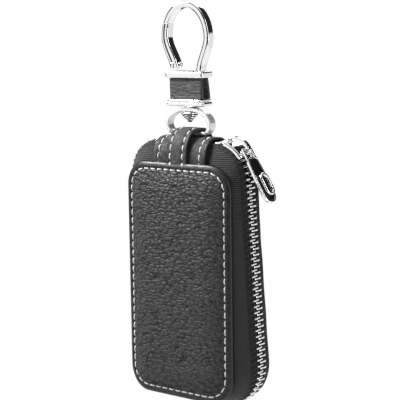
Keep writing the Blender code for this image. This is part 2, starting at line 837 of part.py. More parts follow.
def rod_along_y(name, x, z, radius, half_length, sides=16):
    """A round rod along Y."""
    rings = []
    for y in (-half_length, half_length):
        rings.append([Vector((x + a, y, z + b)) for a, b in circle(radius, sides)])
    return loft(name, rings)


def build_hook():
    """Bow, plate and lug in one casting, with a hole for the gate's rivet."""
    section = rounded_section(BAR_WIDTH, BAR_DEPTH, BAR_EDGE)
    bow = loft("hook_frame", level_end(sweep_in_plane(bow_path(), section), -GATE_TOP_DROP))
    frame = add_object("hook_frame", bow, "chrome")
    plate = add_cutter("hook_plate_guide",
                       plate_mesh("hook_plate_guide", UPPER_PLATE_SIZE, PLATE_TOP, PLATE_EDGE))
    lug = add_cutter("hook_lug_guide", lug_mesh())
    hole = add_cutter("hook_hole_guide",
                      rod_along_y("hook_hole_guide", pivot_x(), -PIVOT_DROP,
                                  PIN_RADIUS + PIN_CLEARANCE, BAR_DEPTH))
    combine(frame, plate, "UNION")
    combine(frame, lug, "UNION")
    combine(frame, hole, "DIFFERENCE")


def gate_width(share):
    """Width of the gate's channel, from its nose to its foot."""
    return GATE_WIDTH_TOP + (GATE_WIDTH_FOOT - GATE_WIDTH_TOP) * share


def build_gate():
    """Channel that follows the bow's left side, open outward, with a round knuckle at its foot."""
    steps = BAR_STEPS // 2
    start = GATE_TOP_DROP + GATE_NOSE_GAP
    end = PIVOT_DROP + GATE_FOOT
    path = []
    for i in range(steps + 1):
        drop = start + (end - start) * i / steps
        path.append((-bow_offset(drop), -drop))

    def section(i):
        outer = -BAR_WIDTH / 2
        web = outer + gate_width(i / steps)
        half = BAR_DEPTH / 2
        inner_half = half - GATE_WALL
        edge = GATE_WALL / 2
        return [(outer, -half), (outer, -inner_half), (web - GATE_WALL, -inner_half),
                (web - GATE_WALL, inner_half), (outer, inner_half), (outer, half),
                (web - edge, half), (web, half - edge), (web, edge - half), (web - edge, -half)]

    rings = level_end(sweep_in_plane(path, section), -start)
    gate = add_object("gate", loft("gate", rings), "chrome")
    x = pivot_x()
    ball = ball_mesh("gate_ball_guide", Vector((x + GATE_BALL_OFFSET, 0.0, -PIVOT_DROP)),
                     GATE_BALL_RADIUS)
    hole = rod_along_y("gate_hole_guide", x, -PIVOT_DROP, PIN_RADIUS + PIN_CLEARANCE, BAR_DEPTH)
    combine(gate, add_cutter("gate_ball_guide", ball), "UNION")
    combine(gate, add_cutter("gate_hole_guide", hole), "DIFFERENCE")
    build_gate_pin(x)
    build_gate_spring()


def ball_mesh(name, centre, radius):
    """A ball of a few rings."""
    form = bmesh.new()
    bmesh.ops.create_icosphere(form, subdivisions=2, radius=radius, matrix=Matrix.Translation(centre))
    return mesh_from_bmesh(name, form)


def build_gate_pin(x):
    """Rivet through the gate and the lug, with a flat head at each end."""
    half = BAR_DEPTH / 2 + GAP / 2
    rings = []
    for y, radius in ((-half - PIN_HEAD_HEIGHT, PIN_HEAD_RADIUS * 0.8), (-half, PIN_HEAD_RADIUS),
                      (-half, PIN_RADIUS), (half, PIN_RADIUS), (half, PIN_HEAD_RADIUS),
                      (half + PIN_HEAD_HEIGHT, PIN_HEAD_RADIUS * 0.8)):
        rings.append([Vector((x + a, y, b - PIVOT_DROP)) for a, b in circle(radius, 16)])
    add_object("gate_pin", loft("gate_pin", rings), "chrome")


def build_gate_spring():
    """Leaf spring inside the gate, from its web down to the lug's outer shoulder."""
    foot = Vector((pivot_x() - LUG_RADIUS * 0.67, 0.0, LUG_RADIUS + GAP - PIVOT_DROP))
    top_drop = PIVOT_DROP - SPRING_LENGTH
    start = GATE_TOP_DROP + GATE_NOSE_GAP
    share = (top_drop - start) / (PIVOT_DROP + GATE_FOOT - start)
    web = gate_width(share) - BAR_WIDTH / 2 - GATE_WALL
    top = Vector((web - GAP - SPRING_THICKNESS - bow_offset(top_drop), 0.0, -top_drop))
    rings = []
    for spot in (foot, top):
        rings.append([spot + Vector((a * SPRING_THICKNESS / 2, b * SPRING_WIDTH / 2, 0.0))
                      for a, b in ((-1, -1), (1, -1), (1, 1), (-1, 1))])
    add_object("gate_spring", loft("gate_spring", rings), "steel")


def build_link():
    """Leather layers and the bar between the two plates."""
    top = PLATE_FOOT - GAP
    foot = TIER_TOP + GAP
    for name, side in (("link_leather_front", -1), ("link_leather_rear", 1)):
        rings = []
        for z, depth in ((foot, LINK_DEPTH_FOOT), (top, LINK_DEPTH_TOP)):
            outer = side * (depth / 2 if side > 0 else LINK_DEPTH_TOP / 2)
            inner = outer - side * LINK_THICKNESS
            ring = [Vector((LINK_WIDTH / 2, outer, z)), Vector((-LINK_WIDTH / 2, outer, z)),
                    Vector((-LINK_WIDTH / 2, inner, z)), Vector((LINK_WIDTH / 2, inner, z))]
            rings.append(ring)
        add_object(name, loft(name, rings), "leather")
    half = LINK_DEPTH_TOP / 2 - LINK_THICKNESS - GAP
    low = (-LINK_CORE_WIDTH / 2, -half, foot)
    high = (LINK_CORE_WIDTH / 2, half, top)
    add_object("link_core", box_mesh("link_core", low, high), "steel")


def build_lower_plate():
    """Stepped plate below the leather, bored for the swivel rivet."""
    tier = plate_mesh("lower_plate", LOWER_TIER_SIZE, TIER_TOP, BAR_EDGE / 2)
    plate = add_object("lower_plate", tier, "chrome")
    roll_size = (LOWER_ROLL_SIZE[0], LOWER_ROLL_SIZE[1], LOWER_ROLL_SIZE[2] + GAP)
    roll = plate_mesh("roll_guide", roll_size, ROLL_TOP + GAP, PLATE_EDGE)
    combine(plate, add_cutter("roll_guide", roll), "UNION")
    bore = turned("rivet_bore_guide",
                  ((RIVET_POST_RADIUS + PIN_CLEARANCE, ROLL_FOOT - OVERRUN),
                   (RIVET_POST_RADIUS + PIN_CLEARANCE, TIER_TOP - LOWER_TIER_SIZE[2])), Vector((0, 0, 0)))
    combine(plate, add_cutter("rivet_bore_guide", bore), "DIFFERENCE")


def build_rivet():
    """Stepped swivel rivet: post through the ring's top and a tiered head inside the ring."""
    head_top = RING_TOP - RING_BAND - GAP
    profile = [(RIVET_POST_RADIUS, ROLL_TOP - GAP), (RIVET_POST_RADIUS, head_top)]
    profile.append((RIVET_TIER_RADII[1] * 0.75, head_top))
    height = head_top - RIVET_TIER_HEIGHT / 2
    for radius in RIVET_TIER_RADII:
        profile.append((radius, height))
        height -= RIVET_TIER_HEIGHT
        profile.append((radius * 0.94, height))
    profile.append((RIVET_TIER_RADII[-1] / 2, height - RIVET_TIER_HEIGHT / 3))
    add_object("swivel_rivet", turned("swivel_rivet", profile, Vector((0, 0, 0))), "chrome")


def ring_path():
    """Outer outline of the swivel ring in (x, z): half ellipse above, flat foot with round corners."""
    half_width = RING_WIDTH / 2
    shoulder = RING_FOOT + RING_FOOT_RADIUS
    rise = RING_TOP - shoulder
    path = []
    for i in range(ROUND_SIDES + 1):
        angle = math.pi * i / ROUND_SIDES
        path.append((half_width * math.cos(angle), shoulder + rise * math.sin(angle)))
    steps = 6
    for i in range(1, steps + 1):
        angle = math.pi / 2 * i / steps
        path.append((-half_width + RING_FOOT_RADIUS * (1 - math.cos(angle)),
                     shoulder - RING_FOOT_RADIUS * math.sin(angle)))
    for i in range(1, steps):
        path.append(((half_width - RING_FOOT_RADIUS) * (2 * i / steps - 1), RING_FOOT))
    for i in range(steps):
        angle = math.pi / 2 * (1 - i / steps)
        path.append((half_width - RING_FOOT_RADIUS * (1 - math.cos(angle)),
                     shoulder - RING_FOOT_RADIUS * math.sin(angle)))
    return path


def build_ring():
    """Flat-band ring whose foot is a round bar, bored at the top for the rivet."""
    path = ring_path()
    count = len(path)
    rings = []
    for i, (x, z) in enumerate(path):
        before = path[i - 1]
        after = path[(i + 1) % count]
        along = Vector((after[0] - before[0], 0.0, after[1] - before[1])).normalized()
        inward = Vector((-along.z, 0.0, along.x))
        rise = z - RING_FOOT
        depth = min(RING_BAR_DIAMETER + 2 * rise, RING_DEPTH)
        edge = min(RING_BAND, depth) * 0.3
        spot = Vector((x, 0.0, z)) + inward * RING_BAND / 2
        section = rounded_section(RING_BAND, depth, edge)
        rings.append([spot + inward * u + Vector((0.0, v, 0.0)) for u, v in section])
    ring = add_object("swivel_ring", loft("swivel_ring", rings, closed=True), "chrome")
    bore = turned("ring_bore_guide",
                  ((RIVET_POST_RADIUS + RING_HOLE_CLEARANCE, RING_TOP - RING_BAND - OVERRUN),
                   (RIVET_POST_RADIUS + RING_HOLE_CLEARANCE, RING_TOP + OVERRUN)), Vector((0, 0, 0)))
    combine(ring, add_cutter("ring_bore_guide", bore), "DIFFERENCE")


# Slider and puller


def polar(angle_deg, rise, y):
    """A point at an angle about the zip's top corner, raised outward from the zip's line."""
    angle = math.radians(angle_deg)
    radius = ZIP_CORNER_TOP + rise
    return Vector((CORNER_X + radius * math.cos(angle), y, CORNER_Z + radius * math.sin(angle)))


def slider_wing(name, outward):
    """One wing of the slider with its two flanges, curved to the zip's corner."""
    steps = 6
    rings = []
    for i in range(steps + 1):
        share = i / steps
        angle = SLIDER_TAIL_DEG + (SLIDER_HEAD_DEG - SLIDER_TAIL_DEG) * share
        half = SLIDER_TAIL_HALF + (SLIDER_HEAD_HALF - SLIDER_TAIL_HALF) * share
        inner = SLIDER_CAVITY
        outer = SLIDER_CAVITY + SLIDER_PLATE
        lip = SLIDER_CAVITY - SLIDER_FLANGE
        foot = half - SLIDER_FLANGE_WIDTH
        section = [(-half, lip), (-foot, lip), (-foot, inner), (foot, inner), (foot, lip),
                   (half, lip), (half, outer - BAR_EDGE), (half - BAR_EDGE, outer),
                   (BAR_EDGE - half, outer), (-half, outer - BAR_EDGE)]
        rings.append([polar(angle, outward * rise, y) for y, rise in section])
    return loft(name, rings)


def build_slider():
    """Two wings joined by a post at the head end, and the bridge for the puller."""
    slider = add_object("slider_body", slider_wing("slider_body", 1), "chrome")
    inner = add_cutter("slider_inner_guide", slider_wing("slider_inner_guide", -1))
    reach = SLIDER_CAVITY + SLIDER_PLATE / 2
    rings = []
    for angle in (SLIDER_HEAD_DEG - SLIDER_POST_DEG, SLIDER_HEAD_DEG - 1):
        rings.append([polar(angle, a * reach, b * SLIDER_POST_HALF)
                      for a, b in ((-1, -1), (1, -1), (1, 1), (-1, 1))])
    post = add_cutter("slider_post_guide", loft("slider_post_guide", rings))
    combine(slider, inner, "UNION")
    combine(slider, post, "UNION")
    build_crown()


CROWN_ANGLE_SHARES = (0.92, 0.8, 0.66, 0.5, 0.34, 0.2, 0.1, 0.05, 0.05)
CROWN_RISE_SHARES = (0.0, 0.42, 0.74, 0.93, 1.0, 0.97, 0.78, 0.45, 0.1)


def build_crown():
    """Bridge on the slider's outer wing, open at the sides, that the puller hangs on."""
    span = SLIDER_HEAD_DEG - SLIDER_TAIL_DEG
    base = SLIDER_CAVITY + SLIDER_PLATE + GAP
    path = []
    for angle_share, rise_share in zip(CROWN_ANGLE_SHARES, CROWN_RISE_SHARES):
        angle = SLIDER_TAIL_DEG + span * angle_share
        rise = base + CROWN_THICKNESS / 2 + (CROWN_PEAK - base - CROWN_THICKNESS / 2) * rise_share
        spot = polar(angle, rise, 0.0)
        path.append((spot.x, spot.z))
    section = rounded_section(CROWN_THICKNESS, CROWN_WIDTH, CROWN_THICKNESS * 0.25)
    add_object("slider_crown", loft("slider_crown", sweep_in_plane(path, section)), "chrome")


def puller_point(along, across, out):
    """A point of the puller, from its pin: down its length, along Y and outward from its face."""
    tilt = math.radians(PULLER_TILT_DEG)
    down = Vector((math.sin(tilt), 0.0, -math.cos(tilt)))
    face = Vector((math.cos(tilt), 0.0, math.sin(tilt)))
    pin = polar(PULL_PIN_DEG, PULL_PIN_RISE, 0.0)
    return pin + down * along + Vector((0.0, across, 0.0)) + face * out


def puller_outline(inset, steps=6):
    """Outline of the puller's plate in (along, across): neck, widening sides, round end."""
    half = PULLER_WIDTH / 2 - inset
    neck = PULLER_NECK_WIDTH / 2 - inset
    points = [(PULLER_SHOULDER + inset, neck), (PULLER_SHOULDER * 2, (neck + half) / 2 + inset / 2)]
    end = PULLER_LENGTH - PULLER_WIDTH / 2
    for i in range(steps + 1):
        angle = math.pi / 2 * (1 - 2 * i / steps)
        points.append((end + half * math.cos(angle), half * math.sin(angle)))
    return points + [(a, -b) for a, b in reversed(points[:2])]


def puller_slab(name, inset, low, high):
    """A slab with the puller's outline between two levels of its face."""
    rings = []
    for out in (low, high):
        rings.append([puller_point(a, b, out) for a, b in puller_outline(inset)])
    return loft(name, rings)


def oval(length, width, sides):
    """Points of a stadium-like oval in (along, across)."""
    points = []
    for i in range(sides):
        angle = 2 * math.pi * i / sides
        straight = (length - width) / 2 * (1 if math.cos(angle) > 0 else -1)
        points.append((straight + width / 2 * math.cos(angle), width / 2 * math.sin(angle)))
    return points


def build_puller():
    """Chrome tray with two arms and a bar, black inlay, and an oval eyelet through both."""
    half = PULLER_THICKNESS / 2
    frame = add_object("puller_frame", puller_slab("puller_frame", 0.0, -half, half), "chrome")
    recess = puller_slab("puller_recess_guide", PULLER_RIM, half - PULLER_RECESS, half + OVERRUN)
    combine(frame, add_cutter("puller_recess_guide", recess), "DIFFERENCE")
    slot_rings = []
    for out in (-half - OVERRUN, half + OVERRUN):
        slot = oval(EYELET_LENGTH - 4 * EYELET_WIRE, EYELET_WIDTH - 4 * EYELET_WIRE, 16)
        slot_rings.append([puller_point(EYELET_DROP + a, b, out) for a, b in slot])
    slot_cut = add_cutter("puller_slot_guide", loft("puller_slot_guide", slot_rings))
    for number, side in enumerate((-1, 1)):
        rings = []
        for along in (-PULLER_BAR_RADIUS, PULLER_SHOULDER + GAP):
            ring = []
            for a, b in ((-1, -1), (1, -1), (1, 1), (-1, 1)):
                across = side * (PULLER_NECK_WIDTH - PULLER_ARM) / 2 + a * PULLER_ARM / 2
                ring.append(puller_point(along, across, b * PULLER_BAR_RADIUS))
            rings.append(ring)
        name = "puller_arm_guide_%d" % number
        combine(frame, add_cutter(name, loft(name, rings)), "UNION")
    rings = []
    for across in (-PULLER_NECK_WIDTH / 2 + GAP, PULLER_NECK_WIDTH / 2 - GAP):
        rings.append([puller_point(a, across, b) for a, b in circle(PULLER_BAR_RADIUS * 0.98, 10)])
    combine(frame, add_cutter("puller_bar_guide", loft("puller_bar_guide", rings)), "UNION")
    combine(frame, slot_cut, "DIFFERENCE")
    floor = half - PULLER_RECESS + GAP
    inlay = add_object("puller_inlay",
                       puller_slab("puller_inlay", PULLER_RIM + GAP, floor, floor + INLAY_THICKNESS),
                       "leather")
    combine(inlay, slot_cut, "DIFFERENCE")
    build_eyelet(floor + INLAY_THICKNESS + GAP + EYELET_WIRE)


def build_eyelet(level):
    """Oval wire rim that lies on the inlay round its slot."""
    sides = 24
    centre = oval(EYELET_LENGTH - 2 * EYELET_WIRE, EYELET_WIDTH - 2 * EYELET_WIRE, sides)
    rings = []
    for i, (a, b) in enumerate(centre):
        before = centre[i - 1]
        after = centre[(i + 1) % sides]
        along = Vector((after[0] - before[0], after[1] - before[1])).normalized()
        ring = []
        for u, v in circle(EYELET_WIRE, 6):
            ring.append(puller_point(EYELET_DROP + a + along.y * u, b - along.x * u, level + v))
        rings.append(ring)
    add_object("puller_eyelet", loft("puller_eyelet", rings, closed=True), "chrome")


# Key holder inside


def key_pitch():
    """Distance between the split ring's turns."""
    return KEY_WIRE_DEPTH + KEY_TURN_GAP


def tab_reach():
    """Half of the slot between the tab's two layers."""
    return key_pitch() / 2 + KEY_WIRE_DEPTH / 2 + GAP + PIN_CLEARANCE


def key_wire_height():
    """Height of the split ring's wire where it rests in the tab's fold."""
    reach = tab_reach()
    fold_floor = STRAP_CREST - STRAP_THICKNESS - GAP - TAB_LENGTH - reach
    inner = KEY_RING_RADIUS - KEY_WIRE_WIDTH / 2
    sag = inner - math.sqrt(inner ** 2 - (TAB_WIDTH / 2) ** 2)
    half_span = (key_pitch() + KEY_WIRE_DEPTH) / 2
    side_rise = reach - math.sqrt(reach ** 2 - half_span ** 2)
    return fold_floor + GAP + PIN_CLEARANCE + side_rise + sag + KEY_WIRE_WIDTH / 2


def build_key_holder():
    """Leather tab folded round the split ring, closed by a rivet."""
    top = STRAP_CREST - STRAP_THICKNESS - GAP
    fold = top - TAB_LENGTH
    reach = tab_reach()
    outer_half = reach + TAB_THICKNESS
    steps = 8
    outer = [(-outer_half, top)]
    inner = [(-reach, top)]
    for i in range(steps + 1):
        angle = math.pi * i / steps
        outer.append((-outer_half * math.cos(angle), fold - outer_half * math.sin(angle)))
        inner.append((-reach * math.cos(angle), fold - reach * math.sin(angle)))
    outer.append((outer_half, top))
    inner.append((reach, top))
    rings = []
    for x in (-TAB_WIDTH / 2, TAB_WIDTH / 2):
        rings.append([Vector((x, y, z)) for y, z in outer + inner[::-1]])
    tab = add_object("inner_tab", loft("inner_tab", rings), "leather")
    rivet_z = top - TAB_LENGTH * 0.35
    hole = rod_along_y("tab_hole_guide", 0.0, rivet_z, TAB_RIVET_POST + PIN_CLEARANCE, outer_half + OVERRUN)
    combine(tab, add_cutter("tab_hole_guide", hole), "DIFFERENCE")
    rings = []
    face = outer_half + GAP
    for y, radius in ((-face - TAB_RIVET_HEAD, TAB_RIVET_RADIUS * 0.8), (-face, TAB_RIVET_RADIUS),
                      (-face, TAB_RIVET_POST), (face, TAB_RIVET_POST), (face, TAB_RIVET_RADIUS),
                      (face + TAB_RIVET_HEAD, TAB_RIVET_RADIUS * 0.8)):
        rings.append([Vector((a, y, rivet_z + b)) for a, b in circle(radius, 16)])
    add_object("tab_rivet", loft("tab_rivet", rings), "chrome")
    build_key_ring(key_wire_height())


def build_key_ring(wire_top):
    """Split ring of two flat turns that hangs in the tab's fold."""
    centre = Vector((0.0, 0.0, wire_top - KEY_RING_RADIUS))
    steps = 24
    rings = []
    for i in range(steps * KEY_TURNS):
        angle = 2 * math.pi * i / steps
        y = key_pitch() * (i / steps - KEY_TURNS / 2)
        outward = Vector((math.sin(angle), 0.0, -math.cos(angle)))
        spot = centre + outward * KEY_RING_RADIUS + Vector((0.0, y, 0.0))
        section = rounded_section(KEY_WIRE_WIDTH, KEY_WIRE_DEPTH, KEY_WIRE_DEPTH * 0.2)
        rings.append([spot + outward * u + Vector((0.0, v, 0.0)) for u, v in section])
    add_object("key_ring", loft("key_ring", rings), "steel")


def carry(name, location, pieces):
    """An empty on a joint's axis that carries the pieces which move about it."""
    carrier = bpy.data.objects.new(name, None)
    carrier.location = location
    bpy.context.scene.collection.objects.link(carrier)
    for piece in pieces:
        part = bpy.data.objects[piece]
        part.parent = carrier
        part.matrix_parent_inverse = Matrix.Translation(location).inverted()


def carry_moving_pieces():
    """Put each moving group on its axis."""
    carry("gate_axis", Vector((pivot_x(), 0.0, -PIVOT_DROP)), ("gate", "gate_spring"))
    carry("swivel_axis", Vector((0.0, 0.0, RING_TOP)), ("swivel_ring",))
    carry("case_axis", Vector((0.0, 0.0, BAR_CENTRE)),
          ("rear_panel", "rear_pad", "rear_lining", "rear_gusset", "top_gusset", "rear_teeth",
           "top_teeth_left", "top_teeth_right", "zip_stop_left", "zip_stop_right", "hinge_strap",
           "hanger_loop", "inner_tab", "tab_rivet"))
    carry("opening_axis", Vector((0.0, OPEN_AXIS_Y, OPEN_AXIS_Z)),
          ("front_panel", "front_pad", "front_lining", "front_gusset", "front_teeth"))
    carry("slider_axis", Vector((CORNER_X, 0.0, CORNER_Z)), ("slider_body", "slider_crown"))
    carry("puller_axis", polar(PULL_PIN_DEG, PULL_PIN_RISE, 0.0),
          ("puller_frame", "puller_inlay", "puller_eyelet"))
    carry("key_ring_axis", Vector((0.0, 0.0, key_wire_height())), ("key_ring",))


def build():
    """Model every sub-part."""
    clear_scene()
    build_panels()
    build_tapes()
    build_teeth()
    build_straps()
    build_hook()
    build_gate()
    build_link()
    build_lower_plate()
    build_rivet()
    build_ring()
    build_slider()
    build_puller()
    build_key_holder()
    carry_moving_pieces()


build()
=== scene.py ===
import math

import bmesh
import bpy
import numpy as np
from mathutils import Matrix, Vector


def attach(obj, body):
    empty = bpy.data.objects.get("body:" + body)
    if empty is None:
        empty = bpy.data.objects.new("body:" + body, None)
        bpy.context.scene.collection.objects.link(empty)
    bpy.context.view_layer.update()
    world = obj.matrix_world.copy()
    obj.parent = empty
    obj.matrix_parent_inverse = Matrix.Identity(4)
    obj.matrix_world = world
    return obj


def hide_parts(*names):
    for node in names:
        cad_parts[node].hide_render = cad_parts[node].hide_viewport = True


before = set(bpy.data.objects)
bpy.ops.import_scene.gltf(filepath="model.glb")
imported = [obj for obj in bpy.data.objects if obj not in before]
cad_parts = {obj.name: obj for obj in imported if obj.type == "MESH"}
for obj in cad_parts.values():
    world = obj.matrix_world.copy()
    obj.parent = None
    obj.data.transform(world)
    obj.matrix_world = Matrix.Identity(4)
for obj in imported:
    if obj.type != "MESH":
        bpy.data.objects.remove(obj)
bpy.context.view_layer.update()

# Lengths are in millimetres; meshes are scaled to metres when they are made.
# Heights count from the inside of the bow's top, where the hook hangs.
MM = 0.001
GAP = 0.3

BAR_WIDTH, BAR_DEPTH = 2.8, 4.2
BOW_HALF_WIDTH, BOW_WIDE_DROP, BOW_DROP, LEG_OFFSET = 11.35, 12.5, 27.1, 6.9
GATE_TOP_DROP, GATE_WALL = 6.4, 0.5
PIVOT_X, PIVOT_DROP = -7.3282, 24.3
UPPER_PLATE = (20.4, 7.9, 2.8)
LUG_HALF, LUG_FOOT, LUG_DEPTH = 1.35, -27.6, 1.4
LINK_TOP, LINK_FOOT, LINK_WIDTH = -29.9, -39.1, 17.3
LOWER_STEP, LOWER_ROLL, LOWER_ROLL_TOP = (18.3, 8.2, 1.0), (20.4, 6.8, 2.1), -40.0
RING_HALF, RING_TOP, RING_FOOT, RING_CORNER, RING_BAND = 12.4, -42.4, -54.8, 5.0, 1.7

PANEL_HALF, PANEL_TOP, PANEL_FOOT, PANEL_CORNER = 28.3, -65.8, -169.0, 11.0
PANEL_HEIGHT = PANEL_TOP - PANEL_FOOT
DEPTH_TOP, DEPTH_FOOT = 10.6, 13.4
BULGE_TOP, BULGE_FOOT = 0.8, 2.0
RIM, RIM_ROUND, BORDER_ROLL = 2.2, 1.0, 2.2
PLATEAU, CROWN, CROWN_START = 15.0, 2.2, 3.6
STITCH_INSET, STITCH_PITCH = 3.0, 3.65

ZIP_HALF_TOP, ZIP_HALF_FOOT, ZIP_TOP, ZIP_FOOT = 30.1, 34.0, -58.0, -171.4
ZIP_CORNER_TOP, ZIP_CORNER_FOOT = 14.2, 18.0
CORNER_X, CORNER_Z = 15.9, -72.2
FIXED_TAPE_END = -73.4
TAPE, TAPE_INSET, TAPE_SEAM = 0.7, 1.2, 0.70
TOOTH_LENGTH, TOOTH_PITCH = 2.7, 2.6
STOP_LENGTH = 3.0

STRAP_WIDTH, LOOP_WIDTH, STRAP_THICK = 28.7, 11.0, 1.2
STRAP_CREST, LOOP_CREST = -55.15, -51.45
STRAP_SEAM, LOOP_SEAM = 11.2, 3.35
STRAP_FOOT = PANEL_TOP - 2.9

HEAD_DEG, TAIL_DEG = 76.0, 35.0
PIN_DEG, PIN_RISE, PULLER_TILT = 42.0, 4.5, 30.0
CROWN_BASE, CROWN_RISE = 3.2, 6.2
PULL_LENGTH, PULL_HALF, NECK_HALF, PULL_THICK = 25.0, 4.1, 3.2, 1.5
EYE_AT, EYE_LENGTH, EYE_WIDTH, EYE_BAND = 17.0, 10.4, 5.6, 1.5

TAB_LENGTH, TAB_REACH = 13.0, 1.575
KEY_RING_Z, KEY_RING_RADIUS, KEY_RING_WIRE = -82.0713, 13.5, (1.8, 0.9)

CORNERS = ((1, 1), (-1, 1), (-1, -1), (1, -1))


# ---------------------------------------------------------------- materials

class Graph:
    """The node tree of a material or world, with short calls for the nodes used here."""

    def __init__(self, owner):
        owner.use_nodes = True
        self.owner = owner
        self.tree = owner.node_tree
        self.shader = self.tree.nodes.get("Principled BSDF")

    def put(self, target, value):
        if isinstance(value, bpy.types.NodeSocket):
            self.tree.links.new(value, target)
        else:
            target.default_value = value

    def node(self, kind, sockets=None, **settings):
        made = self.tree.nodes.new("ShaderNode" + kind)
        for key, value in settings.items():
            setattr(made, key, value)
        for key, value in (sockets or {}).items():
            self.put(made.inputs[key], value)
        return made

    def coords(self, scale=1000.0, stretch=(1.0, 1.0, 1.0), turn=(0.0, 0.0, 0.0)):
        """Object coordinates in millimetres."""
        spot = self.node("TexCoord").outputs["Object"]
        size = tuple(scale * s for s in stretch)
        sockets = {"Vector": spot, "Scale": size, "Rotation": turn}
        return self.node("Mapping", sockets).outputs["Vector"]

    def noise(self, vector, scale, detail=3.0, roughness=0.5, output="Fac"):
        sockets = {"Vector": vector, "Scale": scale, "Detail": detail, "Roughness": roughness}
        return self.node("TexNoise", sockets).outputs[output]

    def wave(self, vector, scale, distortion=0.0, direction="DIAGONAL"):
        sockets = {"Vector": vector, "Scale": scale, "Distortion": distortion}
        made = self.node("TexWave", sockets, wave_type="BANDS", bands_direction=direction)
        return made.outputs["Fac"]

    def cells(self, vector, scale, feature="DISTANCE_TO_EDGE"):
        sockets = {"Vector": vector, "Scale": scale}
        return self.node("TexVoronoi", sockets, feature=feature).outputs["Distance"]

    def math(self, operation, a, b=0.0, c=0.0):
        return self.node("Math", {0: a, 1: b, 2: c}, operation=operation).outputs[0]

    def mul(self, a, b):
        return self.math("MULTIPLY", a, b)

    def mad(self, a, b, c):
        """a * b + c"""
        return self.math("MULTIPLY_ADD", a, b, c)

    def spread(self, value, low, high, to_low=0.0, to_high=1.0):
        sockets = {"Value": value, "From Min": low, "From Max": high,
                   "To Min": to_low, "To Max": to_high}
        made = self.node("MapRange", sockets, interpolation_type="SMOOTHSTEP")
        return made.outputs["Result"]

    def mix(self, factor, first, second):
        made = self.node("Mix", {"Factor": factor}, data_type="RGBA")
        colours = [s for s in made.inputs if s.type == "RGBA"]
        self.put(colours[0], (*first, 1.0))
        self.put(colours[1], (*second, 1.0))
        return [s for s in made.outputs if s.type == "RGBA"][0]

    def mix_shaders(self, factor, first, second):
        return self.node("MixShader", {0: factor, 1: first, 2: second}).outputs[0]

    def bump(self, height, distance, strength=1.0, before=None):
        sockets = {"Height": height, "Strength": strength, "Distance": distance * MM}
        if before is not None:
            sockets["Normal"] = before
        return self.node("Bump", sockets).outputs["Normal"]

    def warped(self, vector, scale, amount):
        """Coordinates pushed about by noise, so that cells look grown, not cut."""
        push = self.noise(vector, scale, 2.0, output="Color")
        for operation, sockets in (("SUBTRACT", {1: (0.5, 0.5, 0.5)}),
                                   ("SCALE", {"Scale": amount}), ("ADD", {1: vector})):
            sockets[0] = push
            push = self.node("VectorMath", sockets, operation=operation).outputs[0]
        return push

    def finish(self, colour, roughness, normal=None, metallic=0.0, **more):
        values = {"Base Color": colour, "Roughness": roughness, "Metallic": metallic}
        if normal is not None:
            values["Normal"] = normal
        values.update({key.replace("_", " "): value for key, value in more.items()})
        for key, value in values.items():
            self.put(self.shader.inputs[key], value)
        return self.owner


def new_graph(name):
    return Graph(bpy.data.materials.new(name))


def leather(name, light, depth, gloss, rough):
    """Pebbled leather: round pebbles with creases between them, folds and fine pores."""
    g = new_graph(name)
    here = g.coords()
    long = g.coords(stretch=(0.62, 1.0, 1.16))
    loose = g.warped(long, 0.11, 3.6)
    grown = g.warped(g.warped(loose, 0.5, 1.2), 1.5, 0.30)
    edge = g.cells(grown, 0.66)
    middle = g.cells(grown, 0.66, "F1")
    dome = g.math("SUBTRACT", 1.0, g.mul(g.mul(middle, middle), 2.2))
    crease = g.spread(edge, 0.0, 0.12)
    deep = g.spread(g.noise(grown, 0.42, 1.0), 0.36, 0.60)
    small = g.cells(g.warped(g.warped(long, 0.8, 0.8), 2.6, 0.25), 1.3, "F1")
    some = g.spread(g.noise(loose, 0.16, 2.0), 0.42, 0.62)
    pores = g.noise(here, 3.4, 3.0, 0.6)
    slack = g.noise(loose, 0.10, 3.0, 0.55)
    height = g.mad(crease, g.mad(deep, 0.30, 0.12), dome)
    height = g.mad(small, g.mad(some, -0.40, -0.16), height)
    height = g.mad(pores, 0.16, height)
    normal = g.bump(height, depth, 1.0, g.bump(slack, 0.9, 0.5))
    # The colour is darker in the creases and towards each pebble's rim and lighter on its middle:
    # painted shade of the pebbles' relief, with random tone from the slack noise.
    tone = g.mul(g.mad(crease, 0.75, 0.25), g.mad(slack, 0.25, g.mad(dome, 0.30, 0.30)))
    roughness = g.spread(height, 0.2, 1.5, rough + 0.12, rough - 0.08)
    return g.finish(g.mix(tone, (0.004, 0.004, 0.005), light), roughness, normal,
                    Specular_IOR_Level=gloss)


def smooth_leather(name, dark, light, across=False, depth=0.05, rough=0.5, gloss=0.4):
    """Finer leather: low grain, and creases that run one way."""
    g = new_graph(name)
    here = g.coords(stretch=(0.16, 1.0, 1.6) if across else (0.8, 1.0, 0.8))
    grown = g.warped(g.warped(here, 0.5, 0.9), 1.8, 0.4)
    grain = g.spread(g.cells(grown, 0.8 if across else 1.5), 0.0, 0.16)
    lines = g.noise(g.warped(here, 0.4, 0.8), 0.8, 4.0, 0.62)
    pores = g.noise(g.coords(), 6.0, 2.0)
    height = g.mad(grain, 0.35, g.mad(lines, 1.3, g.mul(pores, 0.2)))
    # The colour is darker in the cells' creases and in the low parts of the crease lines: painted
    # shade of the relief.
    tone = g.mul(g.spread(lines, 0.30, 0.68), g.mad(grain, 0.4, 0.6))
    return g.finish(g.mix(tone, dark, light),
                    g.spread(height, 0.4, 1.8, rough + 0.14, rough - 0.08),
                    g.bump(height, depth * 2.0), Specular_IOR_Level=gloss)


def chrome(name, tone=(0.92, 0.93, 0.94), rough=0.06, ripple=0.5, metallic=1.0):
    """Polished plating with the faint haze and waves of a die casting."""
    g = new_graph(name)
    here = g.coords()
    haze = g.noise(here, 0.8, 4.0, 0.6)
    wave = g.noise(here, 0.35, 1.0)
    colour = g.mix(g.spread(haze, 0.3, 0.7), tuple(c * 0.93 for c in tone), tone)
    roughness = g.spread(haze, 0.25, 0.75, rough * 0.6, rough * 1.5)
    return g.finish(colour, roughness, g.bump(wave, 0.10, ripple), metallic)


